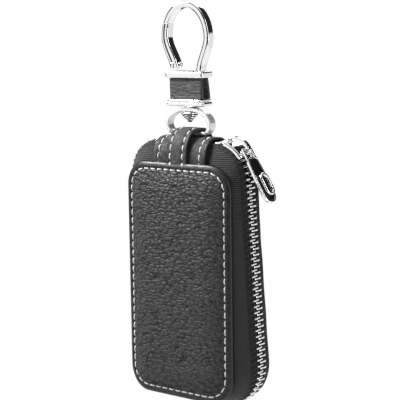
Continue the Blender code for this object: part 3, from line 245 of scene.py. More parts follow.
def brushed(name, tone=(0.42, 0.42, 0.43), rough=0.34):
    """Plain steel with drawn marks."""
    g = new_graph(name)
    marks = g.noise(g.coords(stretch=(3.0, 3.0, 0.4)), 3.0, 4.0, 0.6)
    colour = g.mix(marks, tuple(c * 0.8 for c in tone), tone)
    return g.finish(colour, g.spread(marks, 0.2, 0.8, rough - 0.1, rough + 0.12),
                    g.bump(marks, 0.02), 1.0)


def cloth(name, dark, light, rib, depth, rough=0.8, rib_fade_heights=None):
    """Woven tape or lining: threads one over the other; ribs may fade out down the piece."""
    g = new_graph(name)
    here = g.coords()
    first = g.wave(g.warped(here, 0.5, 0.25), rib, 0.4, "Z")
    fuzz = g.noise(here, 4.0, 4.0, 0.65)
    weave = g.math("ADD", g.mul(first, 0.7), g.mul(g.wave(here, rib * 0.9), 0.3))
    height = g.math("ADD", weave, g.mul(fuzz, 0.6))
    # The colour follows the weave's height, darker in its hollows: painted shade of the weave,
    # with random tone from the fuzz.
    tone = g.spread(height, 0.3, 1.3)
    # Below these heights the weave's relief and its painted shade fade out.
    if rib_fade_heights is not None:
        height_above = g.node("SeparateXYZ", {0: here}).outputs["Z"]
        share = g.spread(height_above, *rib_fade_heights, 0.22, 1.0)
        tone = g.mad(g.math("SUBTRACT", tone, 0.5), share, 0.5)
        height = g.mul(height, share)
    return g.finish(g.mix(tone, dark, light), g.spread(fuzz, 0.2, 0.8, rough - 0.08, rough + 0.1),
                    g.bump(height, depth), Sheen_Weight=0.15, Specular_IOR_Level=0.25)


def thread(name, tone=(0.90, 0.89, 0.86)):
    """Twisted thread."""
    g = new_graph(name)
    here = g.coords(turn=(0.6, 0.5, 0.6))
    twist = g.wave(here, 0.55, 0.6)
    # The colour is darker in the twist's grooves: painted shade, with random tone from noise.
    share = g.mad(twist, 0.6, g.mul(g.noise(here, 3.0, 3.0), 0.4))
    return g.finish(g.mix(share, tuple(c * 0.72 for c in tone), tone), 0.7, g.bump(twist, 0.06))


LEATHER = leather("pebbled_leather", (0.082, 0.082, 0.085), 0.38, 0.28, 0.46)
BORDER = leather("border_leather", (0.040, 0.040, 0.042), 0.019, 0.36, 0.40)
STRAP_LEATHER = smooth_leather("strap_leather", (0.006, 0.006, 0.007), (0.068, 0.068, 0.070),
                               depth=0.12)
LINK_LEATHER = smooth_leather("link_leather", (0.016, 0.016, 0.017), (0.090, 0.090, 0.093),
                              across=True, depth=0.12)
EDGE_PAINT = smooth_leather("edge_paint", (0.010, 0.010, 0.011), (0.022, 0.022, 0.024),
                            depth=0.015, rough=0.30, gloss=0.45)
# Near-black leather for the rim's side and back: painted shade of the groove between the rim and
# the gusset.
RIM_SIDE_PAINTED_SHADE = smooth_leather("rim_side_painted_shade", (0.003, 0.003, 0.003), (0.008, 0.008, 0.009),
                          depth=0.02, rough=0.55, gloss=0.2)
INLAY = smooth_leather("inlay_leather", (0.004, 0.004, 0.004), (0.010, 0.010, 0.010),
                       depth=0.02, rough=0.3)
GUSSET = cloth("gusset_cloth", (0.002, 0.002, 0.003), (0.064, 0.064, 0.066), 0.38, 0.36,
               rough=0.76, rib_fade_heights=(-104.0, -72.0))
TAPE_CLOTH = cloth("zip_tape", (0.008, 0.008, 0.009), (0.032, 0.032, 0.034), 0.6, 0.22)
LINING = cloth("lining_cloth", (0.030, 0.030, 0.033), (0.060, 0.060, 0.064), 0.4, 0.08)
THREAD = thread("pale_thread")
CHROME = chrome("polished_chrome")
SATIN = chrome("satin_chrome", rough=0.20, ripple=0.15, metallic=0.5)
# Near-black chrome for the gate's groove and the rivet's steps: painted shade, and painted
# reflection of the dark leather round them.
RECESS_PAINTED_SHADE = chrome("recess_painted_shade", tone=(0.05, 0.05, 0.055), rough=0.30)
TOOTH_METAL = chrome("tooth_metal", tone=(0.90, 0.90, 0.91), rough=0.16)
STEEL = brushed("drawn_steel")


# ---------------------------------------------------------------- lines

def lerp(a, b, t):
    return a + (b - a) * t


def smooth_step(value, low, high):
    t = min(max((value - low) / (high - low), 0.0), 1.0)
    return t * t * (3 - 2 * t)


def hump(value, middle, width):
    return math.exp(-((value - middle) / width) ** 2)


def arc(centre, radius, start, end, steps, last=False):
    """Points of an arc between two angles in degrees, with or without its last one."""
    angles = [math.radians(lerp(start, end, i / steps)) for i in range(steps + last)]
    return [(centre[0] + radius * math.cos(a), centre[1] + radius * math.sin(a)) for a in angles]


def circle(radius, sides):
    return arc((0.0, 0.0), radius, 0, 360, sides)


def run(start, end, steps):
    """Points of a straight line without its last one."""
    return [(lerp(start[0], end[0], i / steps), lerp(start[1], end[1], i / steps))
            for i in range(steps)]


def lengths_of(points):
    """Length along a line of points, up to each of them."""
    steps = np.linalg.norm(np.diff(np.array(points, float), axis=0), axis=1)
    return np.concatenate([[0.0], np.cumsum(steps)])


def at_length(points, lengths, distance):
    points = np.asarray(points, float)
    return tuple(float(np.interp(distance, lengths, points[:, k])) for k in (0, 1))


def even(points, steps):
    """The same line with points at even steps, its last one too, and its length."""
    lengths = lengths_of(points)
    total = lengths[-1]
    return [at_length(points, lengths, s) for s in np.linspace(0.0, total, steps + 1)], total


def directions(path, closed=False):
    """Unit direction of a line at each of its points."""
    count = len(path)
    ways = []
    for i in range(count):
        if closed:
            a, b = path[i - 1], path[(i + 1) % count]
        else:
            a, b = path[max(i - 1, 0)], path[min(i + 1, count - 1)]
        length = math.hypot(b[0] - a[0], b[1] - a[1])
        ways.append(((b[0] - a[0]) / length, (b[1] - a[1]) / length))
    return ways


def smooth_line(knots, steps):
    """A smooth line through points (Catmull-Rom)."""
    pts = np.array([knots[0], *knots, knots[-1]], float)
    spans = len(knots) - 1
    made = []
    for k in range(steps + 1):
        i = min(int(k / steps * spans), spans - 1)
        u = k / steps * spans - i
        p0, p1, p2, p3 = pts[i:i + 4]
        p = 0.5 * ((2 * p1) + (p2 - p0) * u + (2 * p0 - 5 * p1 + 4 * p2 - p3) * u * u
                   + (3 * p1 - p0 - 3 * p2 + p3) * u ** 3)
        made.append((float(p[0]), float(p[1])))
    return made


def rounded_section(width, depth, edge, steps=4):
    """Outline of a bar with rounded corners, as (u, v)."""
    points = []
    for quarter, (a, b) in enumerate(CORNERS):
        middle = (a * (width / 2 - edge), b * (depth / 2 - edge))
        points += arc(middle, edge, 90 * quarter, 90 * quarter + 90, steps, last=True)
    return points


def bar_section(width, depth, across, along, crown, steps=8, flats=6):
    """Outline of a bar with broad elliptical edges and crowned deep faces, as (u, v)."""
    points = []
    half_w, half_d = width / 2 - crown, depth / 2
    for quarter, (a, b) in enumerate(CORNERS):
        for u, v in arc((0.0, 0.0), 1.0, 90 * quarter, 90 * quarter + 90, steps, last=True):
            points.append((a * (half_w - across) + across * u, b * (half_d - along) + along * v))
        start = points[-1]
        c, d = CORNERS[(quarter + 1) % 4]
        deep = quarter % 2
        end = (c * half_w, d * (half_d - along)) if deep else (c * (half_w - across), d * half_d)
        for k in range(1, flats):
            t = k / flats
            lift = a * crown * 4 * t * (1 - t) if deep else 0.0
            points.append((lerp(start[0], end[0], t) + lift, lerp(start[1], end[1], t)))
    return points


def sweep_xz(path, section, closed=False):
    """Rings of a section (outward, y) along a path in the X-Z plane."""
    rings = []
    for i, ((x, z), (a, c)) in enumerate(zip(path, directions(path, closed))):
        points = section(i) if callable(section) else section
        rings.append([(x - c * u, v, z + a * u) for u, v in points])
    return rings


def sweep_yz(path, section):
    """Rings of a section (x, outward) along a path in the Y-Z plane."""
    return [[(x, y - c * v, z + a * v) for x, v in section]
            for (y, z), (a, c) in zip(path, directions(path))]


def level_start(rings, height):
    """The first ring cut level, at one height."""
    level = []
    for a, b in zip(rings[0], rings[1]):
        t = (height - a[2]) / (b[2] - a[2])
        level.append(tuple(lerp(a[k], b[k], t) for k in range(3)))
    rings[0] = level


# ---------------------------------------------------------------- meshes

def placed(name, data):
    made = bpy.data.objects.new(name, data)
    bpy.context.scene.collection.objects.link(made)
    return made


class Shape:
    """Points and faces of the bodies that make up one piece."""

    def __init__(self):
        self.points, self.faces, self.tags = [], [], []

    def loft(self, rings, closed=False, capped=True, tag=0):
        """Rings of equal count, joined in turn."""
        base, count, rows = len(self.points), len(rings[0]), len(rings)
        faces = []
        for r in range(rows if closed else rows - 1):
            a, b = base + r * count, base + (r + 1) % rows * count
            for i in range(count):
                j = (i + 1) % count
                faces.append((a + i, a + j, b + j, b + i))
        if capped and not closed:
            for first in (base, base + (rows - 1) * count):
                faces.append(tuple(range(first, first + count)))
        self.points += [p for ring in rings for p in ring]
        self.faces += faces
        self.tags += [tag] * len(faces)

    def close_ring(self, base, count):
        """Strips that close a ring whose two halves mirror each other."""
        for i in range(count // 2):
            corners = dict.fromkeys([i, i + 1, count - i - 1, (count - i) % count])
            if len(corners) >= 3:
                self.faces.append(tuple(base + c for c in corners))
                self.tags.append(0)

    def box(self, centre, size, edge, steps=3, turn=None, edge_z=None):
        """A box with rounded edges all round."""
        w, d, h = (s / 2 for s in size)
        edge_z = edge if edge_z is None else edge_z
        levels = [(edge_z * (1 - b), edge_z * (1 - a) - h)
                  for a, b in arc((0.0, 0.0), 1.0, 0, 90, steps, last=True)]
        levels += [(inset, -z) for inset, z in reversed(levels)]
        rings = []
        for inset, z in levels:
            radius = max(edge, inset + 0.01)
            r = max(radius - inset, 0.01)
            section = rounded_section(2 * (w - radius + r), 2 * (d - radius + r), r, steps)
            spots = [Vector((u, v, z)) for u, v in section]
            if turn is not None:
                spots = [turn @ spot for spot in spots]
            rings.append([tuple(Vector(centre) + spot) for spot in spots])
        self.loft(rings)

    def turned(self, profile, centre=(0.0, 0.0, 0.0), axis="Z", sides=28):
        """A body turned about a line through a centre, from (radius, height)."""
        x, y, z = centre
        rings = []
        for radius, height in profile:
            spots = circle(max(radius, 0.005), sides)
            if axis == "Z":
                rings.append([(x + a, y + b, z + height) for a, b in spots])
            else:
                rings.append([(x + a, y + height, z + b) for a, b in spots])
        self.loft(rings)

    def stitch(self, start, end, normal, radius, arch, flat, sides=8, steps=6):
        """A short thread that rises out of a hole and dips into the next."""
        start, end, normal = Vector(start), Vector(end), Vector(normal).normalized()
        side = (end - start).normalized().cross(normal).normalized()
        rings = []
        for i in range(steps + 1):
            bend = math.sin(math.pi * i / steps)
            rise = arch * bend - radius * 1.1 * (1 - bend) ** 2
            spot = start.lerp(end, i / steps) + normal * rise
            r = radius * (0.55 + 0.45 * min(1.0, 2.4 * bend))
            rings.append([tuple(spot + side * a * r + normal * b * r * flat)
                          for a, b in circle(1.0, sides)])
        self.loft(rings)

    def make(self, name, materials, body, nodes=(), angle=38.0, crisp=False):
        """The finished piece, with the body it rides and the solids it stands for."""
        mesh = bpy.data.meshes.new(name)
        mesh.from_pydata([tuple(float(c) * MM for c in p) for p in self.points], [], self.faces)
        mesh.update()
        form = bmesh.new()
        form.from_mesh(mesh)
        bmesh.ops.recalc_face_normals(form, faces=form.faces)
        form.to_mesh(mesh)
        form.free()
        for material in materials:
            mesh.materials.append(material)
        mesh.polygons.foreach_set("material_index", self.tags)
        mesh.shade_smooth()
        mesh.set_sharp_from_angle(angle=math.radians(angle))
        made = placed(name, mesh)
        if crisp:
            made.modifiers.new("flat_faces", "WEIGHTED_NORMAL").keep_sharp = True
        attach(made, body)
        if nodes:
            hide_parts(*nodes)
        return made


# ---------------------------------------------------------------- outlines of the case

def mirrored(half):
    """Closed outline from its right half, which starts and ends on the middle line."""
    return half + [(-x, z) for x, z in reversed(half[1:-1])]


def outline(half_top, half_foot, top, foot, radius_top, radius_foot,
            counts=(40, 26, 150, 34, 46)):
    """Closed outline in (x, z), clockwise from the middle of the top edge."""
    upper = (half_top - radius_top, top - radius_top)
    lower = (half_foot - radius_foot, foot + radius_foot)
    half = run((0.0, top), (upper[0], top), counts[0])
    half += arc(upper, radius_top, 90, 0, counts[1])
    half += run((half_top, upper[1]), (half_foot, lower[1]), counts[2])
    half += arc(lower, radius_foot, 0, -90, counts[3])
    half += run((lower[0], foot), (0.0, foot), counts[4]) + [(0.0, foot)]
    return mirrored(half)


def panel_outline(inset):
    radius = max(PANEL_CORNER - inset, 0.9)
    half = PANEL_HALF - inset
    return outline(half, half, PANEL_TOP - inset, PANEL_FOOT + inset, radius, radius)


TAPE_TOP_STEPS, TAPE_FALL_STEPS = 24, 36
CUT = TAPE_TOP_STEPS + TAPE_FALL_STEPS


def tape_outline(half_top, half_foot, top, foot, radius_top, radius_foot):
    """Outline whose points pair up with another's, with one at the tape's cut on each side."""
    upper = (half_top - radius_top, top - radius_top)
    lower = (half_foot - radius_foot, foot + radius_foot)
    fall = arc(upper, radius_top, 90, 0, 60) + [(half_top, upper[1]), (half_foot, lower[1])]
    k = 0
    while fall[k + 1][1] > FIXED_TAPE_END:
        k += 1
    a, b = fall[k], fall[k + 1]
    cut = (lerp(a[0], b[0], (a[1] - FIXED_TAPE_END) / (a[1] - b[1])), FIXED_TAPE_END)
    half = run((0.0, top), (upper[0], top), TAPE_TOP_STEPS)
    half += even(fall[:k + 1] + [cut], TAPE_FALL_STEPS)[0][:-1]
    half += even([cut] + fall[k + 1:], 120)[0][:-1]
    half += arc(lower, radius_foot, 0, -90, 40)
    half += run((lower[0], foot), (0.0, foot), 30) + [(0.0, foot)]
    return mirrored(half)


def tape_at_panel(inset):
    half, corner = PANEL_HALF - inset, PANEL_CORNER - inset
    return tape_outline(half, half, PANEL_TOP - inset, PANEL_FOOT + inset, corner, corner)


def tape_at_zip(offset):
    return tape_outline(ZIP_HALF_TOP + offset, ZIP_HALF_FOOT + offset, ZIP_TOP + offset,
                        ZIP_FOOT - offset, ZIP_CORNER_TOP + offset, ZIP_CORNER_FOOT + offset)


def edge_depth(z):
    return lerp(DEPTH_TOP, DEPTH_FOOT, (PANEL_TOP - z) / PANEL_HEIGHT)


def bulge(x, z):
    share = min(max((PANEL_TOP - z) / PANEL_HEIGHT, 0.0), 1.0)
    out = max(abs(x) - (PANEL_HALF - PLATEAU), 0.0) / PLATEAU
    return lerp(BULGE_TOP, BULGE_FOOT, share) * max(1 - out * out, 0.0)


def crown_lift(inset):
    """Height of the padded middle above the rim, by the distance from the edge."""
    t = min(max((inset - CROWN_START) / (PLATEAU - CROWN_START), 0.0), 1.0)
    return CROWN * (1 - (1 - t) ** 2.4)


def panel_point(x, z, lift, front):
    depth = edge_depth(z) + lift
    return (x, -depth - bulge(x, z), z) if front else (x, depth, z)


# ---------------------------------------------------------------- panels

RIM_ROWS = ((3.3, -RIM - 0.9), (3.2, -RIM - 0.9), (3.1, -RIM), (0.35, -RIM), (0.1, -RIM + 0.12),
            (0.0, -RIM + 0.4), (0.0, -RIM_ROUND - 0.35))
FACE_INSETS = (0.0, 0.12, 0.3, 0.55, 0.9, 1.4, 1.9, 2.2, 2.45, 2.65, 2.85, 3.0, 3.15, 3.35, 3.55,
               3.8, 4.1, 4.6, 5.3, 6.2, 7.4, 9.0, 11.0, 13.0, PLATEAU, 18.0, 21.5, 25.0)
# Rows of faces from the inner rim outward, with the material of each; material 3, the rim's side
# and back, is near black: painted shade of the groove between the rim and the gusset.
PANEL_TAGS = [0] * 2 + [3] * 5 + [1] * 3 + [2] * 6


def leather_panel(name, front, node, body):
    """Padded leather panel: rolled rim, stitched channel with puckers, soft crown."""
    shape = Shape()
    seam = panel_outline(STITCH_INSET)
    seam.append(seam[0])
    runs = lengths_of(seam)
    stitches = round(runs[-1] / STITCH_PITCH)
    rings = [[panel_point(x, z, lift, front) for x, z in panel_outline(inset)]
             for inset, lift in RIM_ROWS]
    for inset in FACE_INSETS:
        roll = 0.0
        if inset < BORDER_ROLL:
            roll = -RIM_ROUND * (1 - math.sqrt(max(1 - (1 - inset / BORDER_ROLL) ** 2, 0.0)))
        border = 0.14 * hump(inset, 1.7, 0.55)
        groove = -0.42 * hump(inset, STITCH_INSET, 0.42)
        lift = roll + border + groove + crown_lift(inset)
        near, beyond = hump(inset, STITCH_INSET, 1.1), hump(inset, 5.0, 2.2)
        ring = []
        for i, (x, z) in enumerate(panel_outline(inset)):
            phase = 2 * math.pi * runs[i] / runs[-1] * stitches
            pucker = -0.11 * near * math.cos(phase) * (1 - 0.35 * math.cos(2 * phase))
            wave = 0.07 * math.sin(phase / 5.3 + inset * 0.7) * beyond
            ring.append(panel_point(x, z, lift + pucker + wave, front))
        rings.append(ring)
    shape.loft(rings, capped=False)
    count = len(rings[0])
    shape.close_ring(len(shape.points) - count, count)
    for row, tag in enumerate(PANEL_TAGS):
        shape.tags[row * count:(row + 1) * count] = [tag] * count
    made = shape.make(name, [LEATHER, EDGE_PAINT, BORDER, RIM_SIDE_PAINTED_SHADE], body, [node], 60.0)
    shape = Shape()
    for k in range(stitches):
        ends = []
        for share in (0.10, 0.90):
            x, z = at_length(seam, runs, runs[-1] * (k + share) / stitches)
            x += 0.04 * math.sin(k * 12.9 + share * 7.0)
            z += 0.04 * math.sin(k * 7.7 + share * 3.0)
            ends.append(panel_point(x, z, -0.24, front))
        shape.stitch(*ends, (0.0, -1.0 if front else 1.0, 0.0), 0.31, 0.20, 0.7)
    shape.make(name + "_stitches", [THREAD], body)


# ---------------------------------------------------------------- straps

def arch(half_depth, crest, steps=160, power=2.7):
    """Line over the top of the case from its front foot to its rear foot, as (y, z)."""
    points = []
    for a, b in arc((0.0, 0.0), 1.0, 0, 180, steps, last=True):
        y = -half_depth * math.copysign(abs(a) ** (2 / power), a)
        points.append((y, lerp(STRAP_FOOT, crest, abs(b) ** (2 / power))))
    return points


def strap(name, width, half_depth, crest, seam, node):
    """Strap bent over the top, with rounded painted edges, sunk seams and stitches."""
    half, edge = width / 2, STRAP_THICK / 2
    middle, total = even(arch(half_depth - edge, crest - edge), 110)
    side = [(half - edge * 0.75 + edge * 0.75 * u, edge * v)
            for u, v in arc((0.0, 0.0), 1.0, -90, 90, 8, last=True)]
    margin = [half - 0.6 - k * 0.35 for k in range(8)]
    inner = np.linspace(-half + 3.2, half - 3.2, 15)
    top = []
    for x in sorted({round(float(v), 3) for v in (*margin, *(-m for m in margin), *inner)},
                    reverse=True):
        sink = -0.46 * (hump(x, -seam, 0.55) + hump(x, seam, 0.55))
        crease = -0.22 * hump(abs(x), half - 0.75, 0.22)
        top.append((x, edge + sink + 0.1 * (1 - (x / half) ** 2) + crease))
    other_side = [(-x, v) for x, v in reversed(side)]
    under = [(float(x), -edge) for x in np.linspace(-half + 1.2, half - 1.2, 9)]
    across = side + top + other_side + under
    painted = [True] * len(side) + [False] * len(top) + [True] * (len(other_side) + len(under))
    shape = Shape()
    shape.loft(sweep_yz(middle, across))
    row = [int(a and b) for a, b in zip(painted, painted[1:] + painted[:1])]
    shape.tags = row * (len(middle) - 1) + [0, 0]
    shape.make(name, [STRAP_LEATHER, EDGE_PAINT], "case", [node], 70.0)
    shape = Shape()
    number = int(total // STITCH_PITCH)
    lengths = np.linspace(0.0, total, len(middle))
    normals = [Vector((0.0, -c, a)) for a, c in directions(middle)]
    for x in (-seam, seam):
        for k in range(number):
            spots = []
            for share in (0.12, 0.88):
                s = total * (k + share) / number
                i = min(int(s / total * (len(middle) - 1)), len(middle) - 2)
                out = normals[i].lerp(normals[i + 1], 0.5)
                spots.append(Vector((x, *at_length(middle, lengths, s))) + out * (edge - 0.26))
            shape.stitch(*spots, out, 0.30, 0.28, 0.8)
    shape.make(name + "_stitches", [THREAD], "case")


# ---------------------------------------------------------------- gusset and zip

TAPE_SHARES = (0.0, 0.03, 0.07, 0.12, 0.2, 0.3, 0.4, 0.5, 0.58, 0.64, 0.68, 0.71, 0.74, 0.78,
               0.84, 0.92, 1.0)
FIRST_TAPE = TAPE_SHARES.index(0.71)


def tape_skin(name, side, indices, body, node, bulged=False, drop=0.0, closed=False):
    """Gusset and zip tape from a panel's rim to the teeth, with the seam between them."""
    outer_panel, inner_panel = tape_at_panel(TAPE_INSET), tape_at_panel(TAPE_INSET + TAPE)
    outer_zip, inner_zip = tape_at_zip(TAPE / 2), tape_at_zip(-TAPE / 2)
    runs = lengths_of(outer_zip)
    flat = TOOTH_LENGTH + GAP + (2.0 if side > 0 else 0.9)
    end = TOOTH_LENGTH + 0.05

    def section(i, panel, edge, skin):
        start = edge_depth(panel[1]) - RIM - GAP + (bulge(*panel) if bulged else 0.0)
        bump = 0.65 * max(math.cos(2 * math.pi * runs[i] / TOOTH_PITCH), -0.2) if skin else 0.0
        nx, nz = edge[0] - panel[0], edge[1] - panel[1]
        n = math.hypot(nx, nz) or 1.0
        points = []
        for share in TAPE_SHARES:
            t = math.sqrt(1 - (1 - share) ** 2)
            if side < 0:
                t = 0.60 * share + 0.40 * t
            lift = 0.0
            if skin:
                lift = 0.16 * hump(share, TAPE_SEAM, 0.025)
                lift -= 0.12 * hump(share, TAPE_SEAM + 0.05, 0.02)
                lift += 0.10 * math.sin(i * 0.21 + share * 5.0) * math.sin(math.pi * share) ** 2
                lift += bump * smooth_step(share, TAPE_SEAM, 1.0)
            points.append((lerp(panel[0], edge[0], t) + nx / n * lift,
                           side * lerp(start, flat, share),
                           lerp(panel[1], edge[1], t) + nz / n * lift))
        for reach in (end + 0.5, end):
            points.append((edge[0] + nx / n * bump, side * reach, edge[1] + nz / n * bump))
        return points

    rings = [section(i, outer_panel[i], outer_zip[i], True)
             + section(i, inner_panel[i], inner_zip[i], False)[::-1] for i in indices]
    if drop:
        for k in (0, -1):
            rings[k] = [(x, y, z - drop) for x, y, z in rings[k]]
    shape = Shape()
    shape.loft(rings, closed=closed)
    count = len(rings[0])
    for k in range(len(shape.tags)):
        shape.tags[k] = int(FIRST_TAPE <= k % count < count - FIRST_TAPE - 1)
    shape.make(name, [GUSSET, TAPE_CLOTH], body, [node], 65.0)


TRACK = outline(ZIP_HALF_TOP, ZIP_HALF_FOOT, ZIP_TOP, ZIP_FOOT, ZIP_CORNER_TOP, ZIP_CORNER_FOOT,
                counts=(20, 40, 4, 40, 20))
TRACK.append(TRACK[0])
TRACK_LENGTHS = lengths_of(TRACK)
TRACK_TOTAL = TRACK_LENGTHS[-1]
FIRST_TOOTH = STRAP_WIDTH / 2 + GAP + STOP_LENGTH + GAP


def on_track(distance, step=0.4):
    """Position, direction and outward normal at a distance along the zip's line."""
    x, z = at_length(TRACK, TRACK_LENGTHS, distance)
    a = at_length(TRACK, TRACK_LENGTHS, max(distance - step, 0.0))
    b = at_length(TRACK, TRACK_LENGTHS, min(distance + step, TRACK_TOTAL))
    dx, dz = directions([a, b])[0]
    return Vector((x, 0.0, z)), Vector((dx, 0.0, dz)), Vector((-dz, 0.0, dx))


def distance_at_height(height):
    half = len(TRACK) // 2
    heights = [z for _, z in TRACK[:half]]
    return float(np.interp(height, heights[::-1], TRACK_LENGTHS[:half][::-1]))


def teeth_piece(name, body, node, start, end, side, shift):
    """Cast teeth that clasp the corded edge of the tape: jaws, a waist and a nose."""
    shape = Shape()
    y = Vector((0.0, float(side), 0.0))
    distance = FIRST_TOOTH + shift * TOOTH_PITCH
    while distance < TRACK_TOTAL - FIRST_TOOTH:
        if start + 0.75 < distance < end - 0.75:
            spot, way, out = on_track(distance)
            angle = math.degrees(math.atan2(spot.z - CORNER_Z, spot.x - CORNER_X))
            parted = spot.x > CORNER_X and angle > -8.0
            nose = 0.75 if parted else -0.95
            rows = ((TOOTH_LENGTH + 0.15, 0.34, 0.62), (TOOTH_LENGTH, 0.46, 0.92),
                    (1.7, 0.48, 0.98), (1.05, 0.40, 0.88), (0.3, 0.40, 0.80),
                    (nose * 0.5, 0.46, 0.80), (nose, 0.42, 0.70), (nose - 0.16, 0.26, 0.48))
            rings = []
            for reach, w, h in rows:
                rings.append([tuple(spot + y * reach + way * u + out * (v + 0.42))
                              for u, v in rounded_section(w * 2, h * 2, min(w, h) * 0.5, 2)])
            shape.loft(rings)
        distance += TOOTH_PITCH
    count = max(int((end - start) / 1.6), 4)
    rings = []
    for i in range(count + 1):
        spot, _, out = on_track(lerp(start, end, i / count))
        rings.append([tuple(spot + y * (TOOTH_LENGTH - 0.15 + u) + out * (v + 0.22))
                      for u, v in circle(0.78, 10)])
    shape.loft(rings, tag=1)
    shape.make(name, [TOOTH_METAL, TAPE_CLOTH], body, [node], 50.0, crisp=True)


def stop_piece(name, distance, node):
    """Crimped end stop with ribs."""
    spot, way, out = on_track(distance)
    shape = Shape()
    turn = Matrix((tuple(way), (0.0, 1.0, 0.0), tuple(out))).transposed()
    for step in range(4):
        centre = spot + way * (step - 1.5) * 0.74
        shape.box(centre, (0.72, 2 * TOOTH_LENGTH, 1.9), 0.26, turn=turn)
    shape.box(spot, (STOP_LENGTH - 0.3, 2 * TOOTH_LENGTH - 0.5, 1.5), 0.3, turn=turn)
    shape.make(name, [TOOTH_METAL], "case", [node], crisp=True)


# ---------------------------------------------------------------- hook

def bow_offset(drop):
    if drop <= BOW_WIDE_DROP:
        share = (BOW_WIDE_DROP - drop) / (BOW_WIDE_DROP + BAR_WIDTH / 2)
        return BOW_HALF_WIDTH * math.sqrt(max(1 - share * share, 0.0))
    return lerp(BOW_HALF_WIDTH, LEG_OFFSET, smooth_step(drop, BOW_WIDE_DROP, BOW_DROP))


def hook_piece():
    """Bow, plate and lug of the hook."""
    rise = BOW_WIDE_DROP + BAR_WIDTH / 2
    start = math.acos(-math.sqrt(1 - ((BOW_WIDE_DROP - GATE_TOP_DROP) / rise) ** 2))
    path = []
    for i in range(81):
        angle = start * (1 - i / 80)
        path.append((BOW_HALF_WIDTH * math.cos(angle), rise * math.sin(angle) - BOW_WIDE_DROP))
    for i in range(1, 41):
        drop = lerp(BOW_WIDE_DROP, BOW_DROP + 0.5, i / 40)
        path.append((bow_offset(min(drop, BOW_DROP)), -drop))
    shape = Shape()
    rings = sweep_xz(path, bar_section(BAR_WIDTH, BAR_DEPTH, 0.95, 0.6, 0.07))
    level_start(rings, -GATE_TOP_DROP)
    shape.loft(rings)
    plate_middle = -BOW_DROP - UPPER_PLATE[2] / 2
    shape.box((0.0, 0.0, plate_middle), UPPER_PLATE, 1.0, steps=5, edge_z=0.8)
    lug = [(LUG_HALF, LUG_FOOT)] + arc((0.0, -PIVOT_DROP), LUG_HALF, 0, 180, 14, last=True)
    lug.append((-LUG_HALF, LUG_FOOT))
    shape.loft([[(PIVOT_X + x, y, z) for x, z in lug] for y in (-LUG_DEPTH / 2, LUG_DEPTH / 2)])
    shape.make("hook_casting", [CHROME], "hook", ["hook_frame"], 44.0, crisp=True)


def gate_piece():
    """Hollow gate with its round knuckle."""
    start, end, steps = GATE_TOP_DROP + 0.32, PIVOT_DROP + 1.25, 60
    drops = [lerp(start, end, i / steps) for i in range(steps + 1)]
    outer, half, wall = -BAR_WIDTH / 2, BAR_DEPTH / 2, GATE_WALL

    def section(i):
        web = outer + 3.0 + 1.1 * i / steps
        left = arc((outer + 0.45, 0.45 - half), 0.45, 180, 270, 4, last=True)
        right = arc((web - 0.7, 0.7 - half), 0.7, -90, 0, 6, last=True)
        middle = lerp(outer, web, 0.42)
        groove = [(middle - 0.42, -half), (middle - 0.26, 0.26 - half),
                  (middle + 0.26, 0.26 - half), (middle + 0.42, -half)]
        back = [(u, -v) for u, v in left + [(middle, -half)] + right]
        inside = [(outer + 0.1, half - wall), (web - wall - 0.3, half - wall),
                  (web - wall, half - wall - 0.3)]
        inside += [(u, -v) for u, v in reversed(inside)]
        return left + groove + right + back[::-1] + inside

    rings = sweep_xz([(-bow_offset(drop), -drop) for drop in drops], section)
    level_start(rings, -start)
    shape = Shape()
    shape.loft(rings)
    shape.box((0.15 - bow_offset(start), 0.0, -start - 0.42),
              (2.2, BAR_DEPTH - 2 * wall - 0.1, 0.8), 0.2)
    shape.turned(arc((0.0, 0.0), 1.15, -90, 90, 16, last=True), (PIVOT_X + 2.85, 0.0, -PIVOT_DROP))
    count = len(rings[0])
    # The faces of the groove take the near-black chrome: painted shade in the groove.
    for k in range(count * steps):
        shape.tags[k] = int(5 <= k % count <= 7)
    shape.make("hook_gate", [CHROME, RECESS_PAINTED_SHADE], "gate", ["gate"], 40.0, crisp=True)
    shape = Shape()
    face = half + 0.15
    head = [(0.05, face + 0.16), (0.5, face + 0.14), (0.78, face + 0.08), (0.9, face), (0.6, face)]
    shape.turned([(r, -h) for r, h in head] + head[::-1], (PIVOT_X, 0.0, -PIVOT_DROP), "Y")
    shape.make("gate_rivet", [CHROME], "hook", ["gate_pin"], crisp=True)


def link_wrap(name, side, node):
    """One layer of the leather between the plates, with its folded edges."""
    top, foot, half, steps = LINK_TOP - 0.15, LINK_FOOT + 0.15, LINK_WIDTH / 2, 26
    rings = []
    for k in range(steps + 1):
        t = k / steps
        outer = (2.7 if side < 0 else lerp(3.9, 2.7, t)) + 0.10 * math.sin(math.pi * t)
        inner = outer - 1.5
        fold = arc((half - 0.45, outer - 0.45), 0.45, 0, 90, 4, last=True)
        skin = [(x, outer + 0.04 * math.sin(x * 1.7 + t * 9.0)
                 + 0.03 * math.sin(t * 31.0 + x * 0.6))
                for x in np.linspace(half - 1.0, -half + 1.0, 30)]
        back = [(-half, inner + 0.3), (0.3 - half, inner), (half - 0.3, inner),
                (half, inner + 0.3)]
        section = fold + skin + [(-x, y) for x, y in reversed(fold)] + back
        rings.append([(x, side * y, lerp(foot, top, t)) for x, y in section])
    shape = Shape()
    shape.loft(rings)
    shape.make(name, [LINK_LEATHER], "hook", [node], 60.0)


